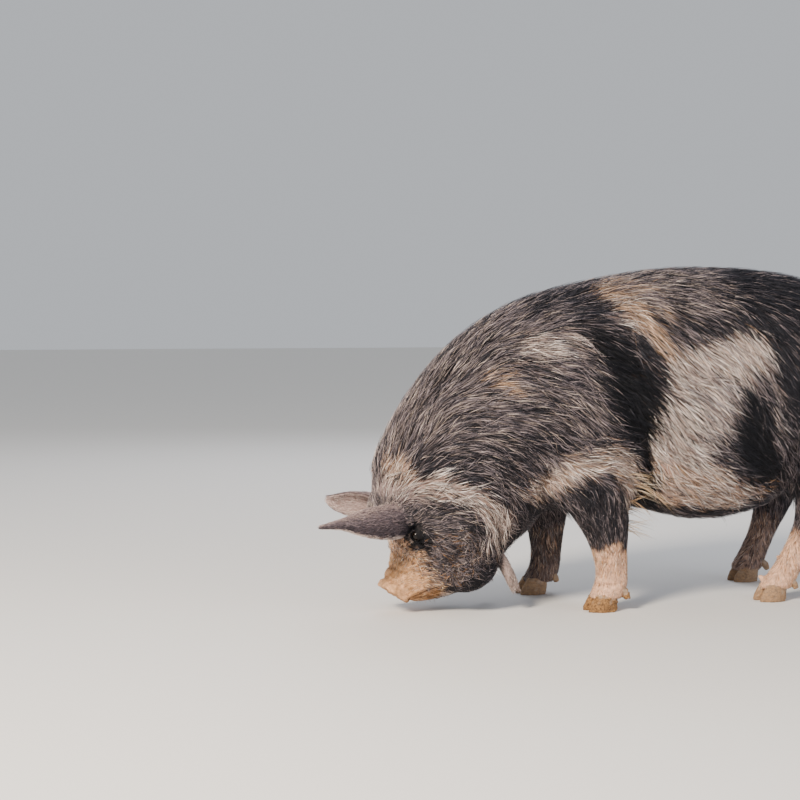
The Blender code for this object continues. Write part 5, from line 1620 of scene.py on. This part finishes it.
def makeHooves(which):
    _, _, footX, footY, _ = legs[which]
    awayX, awayY = hooves["dewclawAt"]
    pieces = []
    for outer in (-1, 1):
        pieces.append(makeToe(footX, footY + outer * hooves["spread"], -outer))
        path = [(footX + awayX + x, footY + outer * (awayY + y), z) for x, y, z in hooves["dewclaw"]]
        claw = taperedTube("dewclaw", path, hooves["dewclawRadii"], 10, 14)
        addModifier(claw, "SUBSURF", levels=1, render_levels=1)
        pieces.append(applyAll(claw))
    made = joinAll("hooves" + which.replace("leg", "").title().replace("_", ""), pieces)
    points, normals = pointsOf(made.data), normalsOf(made.data)
    muddy = hooves["mud"][which]
    cake = muddy * ramp(roughly(points, 0.010, 4.0) + (0.040 - points[:, 2]) * 34, -0.20, 0.40)
    lumps = 0.0018 * muddy * cake * (0.7 + 1.3 * roughly(points, 0.0045, 2.0))
    points += normals * np.clip(lumps, 0, 0.004)[:, None]
    points[:, 2] = np.maximum(points[:, 2], 0.0)
    setPoints(made.data, points)
    markPoints(made.data, "driedMud", cake)
    made.data.materials.clear()
    made.data.materials.append(materials["hoofHorn"])
    selectOnly(made)
    bpy.ops.object.shade_smooth_by_angle(angle=math.radians(50))
    placeOnFrame(made)
    return made


def hoofHorn():
    # keratin horn: dull and faintly banded, with mud dried on it
    material, tree, shader = newMaterial("hoofHorn")
    place = {"Vector": addNode(tree, "TexCoord").outputs["Object"]}
    mud = addNode(tree, "Attribute", {"attribute_name": "driedMud"}).outputs["Fac"]
    # growth bands about 7 mm apart, broken by scuffs
    bands = addNode(tree, "TexWave", {"bands_direction": "Z"},
                    {"Scale": 46.0, "Distortion": 5.0, "Detail": 4.0, "Detail Scale": 2.5}, place)
    scuffs = addNode(tree, "TexNoise", {}, {"Scale": 90.0, "Detail": 7.0, "Roughness": 0.7}, place)
    faded = addNode(tree, "Math", {"operation": "MULTIPLY_ADD"}, {1: 0.25, 2: -0.75},
                    {0: bands.outputs["Fac"]})
    blend = addNode(tree, "Math", {"operation": "MULTIPLY_ADD", "use_clamp": True}, {1: 2.6},
                    {0: scuffs.outputs["Fac"], 2: faded.outputs[0]})
    horn = addNode(tree, "Mix", {"data_type": "RGBA"},
                   {6: (*linearColour("#7C6450"), 1), 7: (*linearColour("#B0967B"), 1)},
                   {0: blend.outputs[0]})
    # crumbs of mud about 5 mm across
    crumb = addNode(tree, "TexNoise", {}, {"Scale": 200.0, "Detail": 8.0, "Roughness": 0.74}, place)
    clods = addNode(tree, "MapRange", {}, {"From Min": 0.38, "From Max": 0.62},
                    {"Value": crumb.outputs["Fac"]})
    soil = addNode(tree, "Mix", {"data_type": "RGBA"},
                   {6: (*linearColour("#4E351F"), 1), 7: (*linearColour("#B0824F"), 1)},
                   {0: clods.outputs["Result"]})
    tone = addNode(tree, "Mix", {"data_type": "RGBA"}, {}, {0: mud, 6: horn.outputs[2], 7: soil.outputs[2]})
    rough = addNode(tree, "MapRange", {}, {"To Min": 0.25, "To Max": 1.0}, {"Value": mud})
    grit = addNode(tree, "Math", {"operation": "MULTIPLY"}, {},
                   {0: crumb.outputs["Fac"], 1: rough.outputs["Result"]})
    bump = addNode(tree, "Bump", {}, {"Strength": 0.8, "Distance": 0.0020}, {"Height": grit.outputs[0]})
    dull = addNode(tree, "MapRange", {}, {"To Min": 0.52, "To Max": 0.92}, {"Value": mud})
    feed(tree, shader, {"Base Color": tone.outputs[2], "Normal": bump.outputs["Normal"],
                        "Roughness": dull.outputs["Result"]})
    setInputs(shader, IOR=1.55)
    return material


def wetEye():
    # a living eye under its tear film: dark brown iris, near black pupil, very glossy
    material, tree, shader = newMaterial("wetEye")
    own = addNode(tree, "Attribute", {"attribute_name": "eyeColour"}).outputs["Color"]
    feed(tree, shader, {"Base Color": own})
    setInputs(shader, Roughness=0.06, IOR=1.38)
    return material


def makeEye(side, where):
    radius = eyes["radius"]
    bpy.ops.object.select_all(action="DESELECT")
    bpy.ops.mesh.primitive_uv_sphere_add(segments=64, ring_count=40, radius=radius)
    eye = bpy.context.object
    eye.name = eye.data.name = "eyeLeft" if side < 0 else "eyeRight"
    points = pointsOf(eye.data)
    angle = np.degrees(np.arccos(np.clip(points[:, 2] / radius, -1, 1)))
    points[:, 2] += 0.0011 * (1 - ramp(angle, 18, 44))  # the cornea stands out
    # rings of colour: a pupil wider than high, the iris, its dark rim, the white stained brown; iris and
    # white are painted darker as painted shade
    wide = np.degrees(np.hypot(points[:, 0] / radius * 1.25, points[:, 1] / radius * 0.85))
    fibre = 1 + 0.16 * np.sin(np.arctan2(points[:, 1], points[:, 0]) * 21 + 2 * np.sin(angle))
    pupil, inside, outside, rim, white = coloursOf(eyes["tones"])
    iris = (inside + (outside - inside) * ramp(angle, 20, 34)[:, None]) * fibre[:, None]
    colours = np.repeat(pupil[None], len(points), 0)
    for tone, share in ((iris, ramp(wide, 13, 17)), (rim, ramp(angle, 34, 39)), (white, ramp(angle, 42, 50))):
        colours = colours * (1 - share[:, None]) + tone * share[:, None]
    paintPoints(eye.data, "eyeColour", colours)
    setPoints(eye.data, points)
    eye.data.transform(turnInto(where))
    eye.data.materials.append(materials["wetEye"])
    bpy.ops.object.shade_smooth()
    placeOnFrame(eye)
    return eye


materials = {"pigSkin": pigSkin(), "coatHair": coatHair(), "hoofHorn": hoofHorn(), "wetEye": wetEye()}
setUpCamera()
setUpStudio()
body = fuseFlesh()
print("flesh fused:", len(body.data.polygons), "faces")
skin, sockets = makeSkin(body)
paintSkin(skin, sockets)
print("skin made:", len(skin.data.polygons), "faces")
surface = surfaceOf(skin)
coatPieces = growCoat(body, surface, sockets)
bpy.data.objects.remove(body)
print("coat grown:", sum(len(piece.data.polygons) for piece in coatPieces), "faces")
coatPieces.append(joinAll("coatEars", [earHair(which, surface) for which in ears]))
coatPieces.append(joinAll("coatWattles", [tubeHair("wattles", mirrored(wattlePath, side), wattleRadii)
                                          for side in (-1, 1)]))
tail = tubeHair("tail", tailPath, tailRadii)
tail.name = tail.data.name = "coatTail"
coatPieces.append(tail)
coatPieces.append(joinAll("looseStrands", [makeStrands(name, surface) for name in looseStrands]))
coatPieces.append(makeLashes(sockets))
print("thin parts haired:", len(coatPieces), "coat pieces in all")
placeOnFrame(skin)
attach(skin, "root")
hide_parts("torso", "neck", "head", "snout", "ear_left", "ear_right", "wattle_left", "wattle_right",
            "tail", *legs)
for piece in coatPieces:
    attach(piece, "root")
for side, where in sockets.items():
    eye = makeEye(side, where)
    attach(eye, "root")
    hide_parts("eye_left" if side < 0 else "eye_right")
for which in legs:
    feet = makeHooves(which)
    nodes = [which.replace("leg", kind) + end for kind in ("toe", "dewclaw") for end in ("_inner", "_outer")]
    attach(feet, "root")
    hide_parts(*nodes)
print("eyes and hooves made")
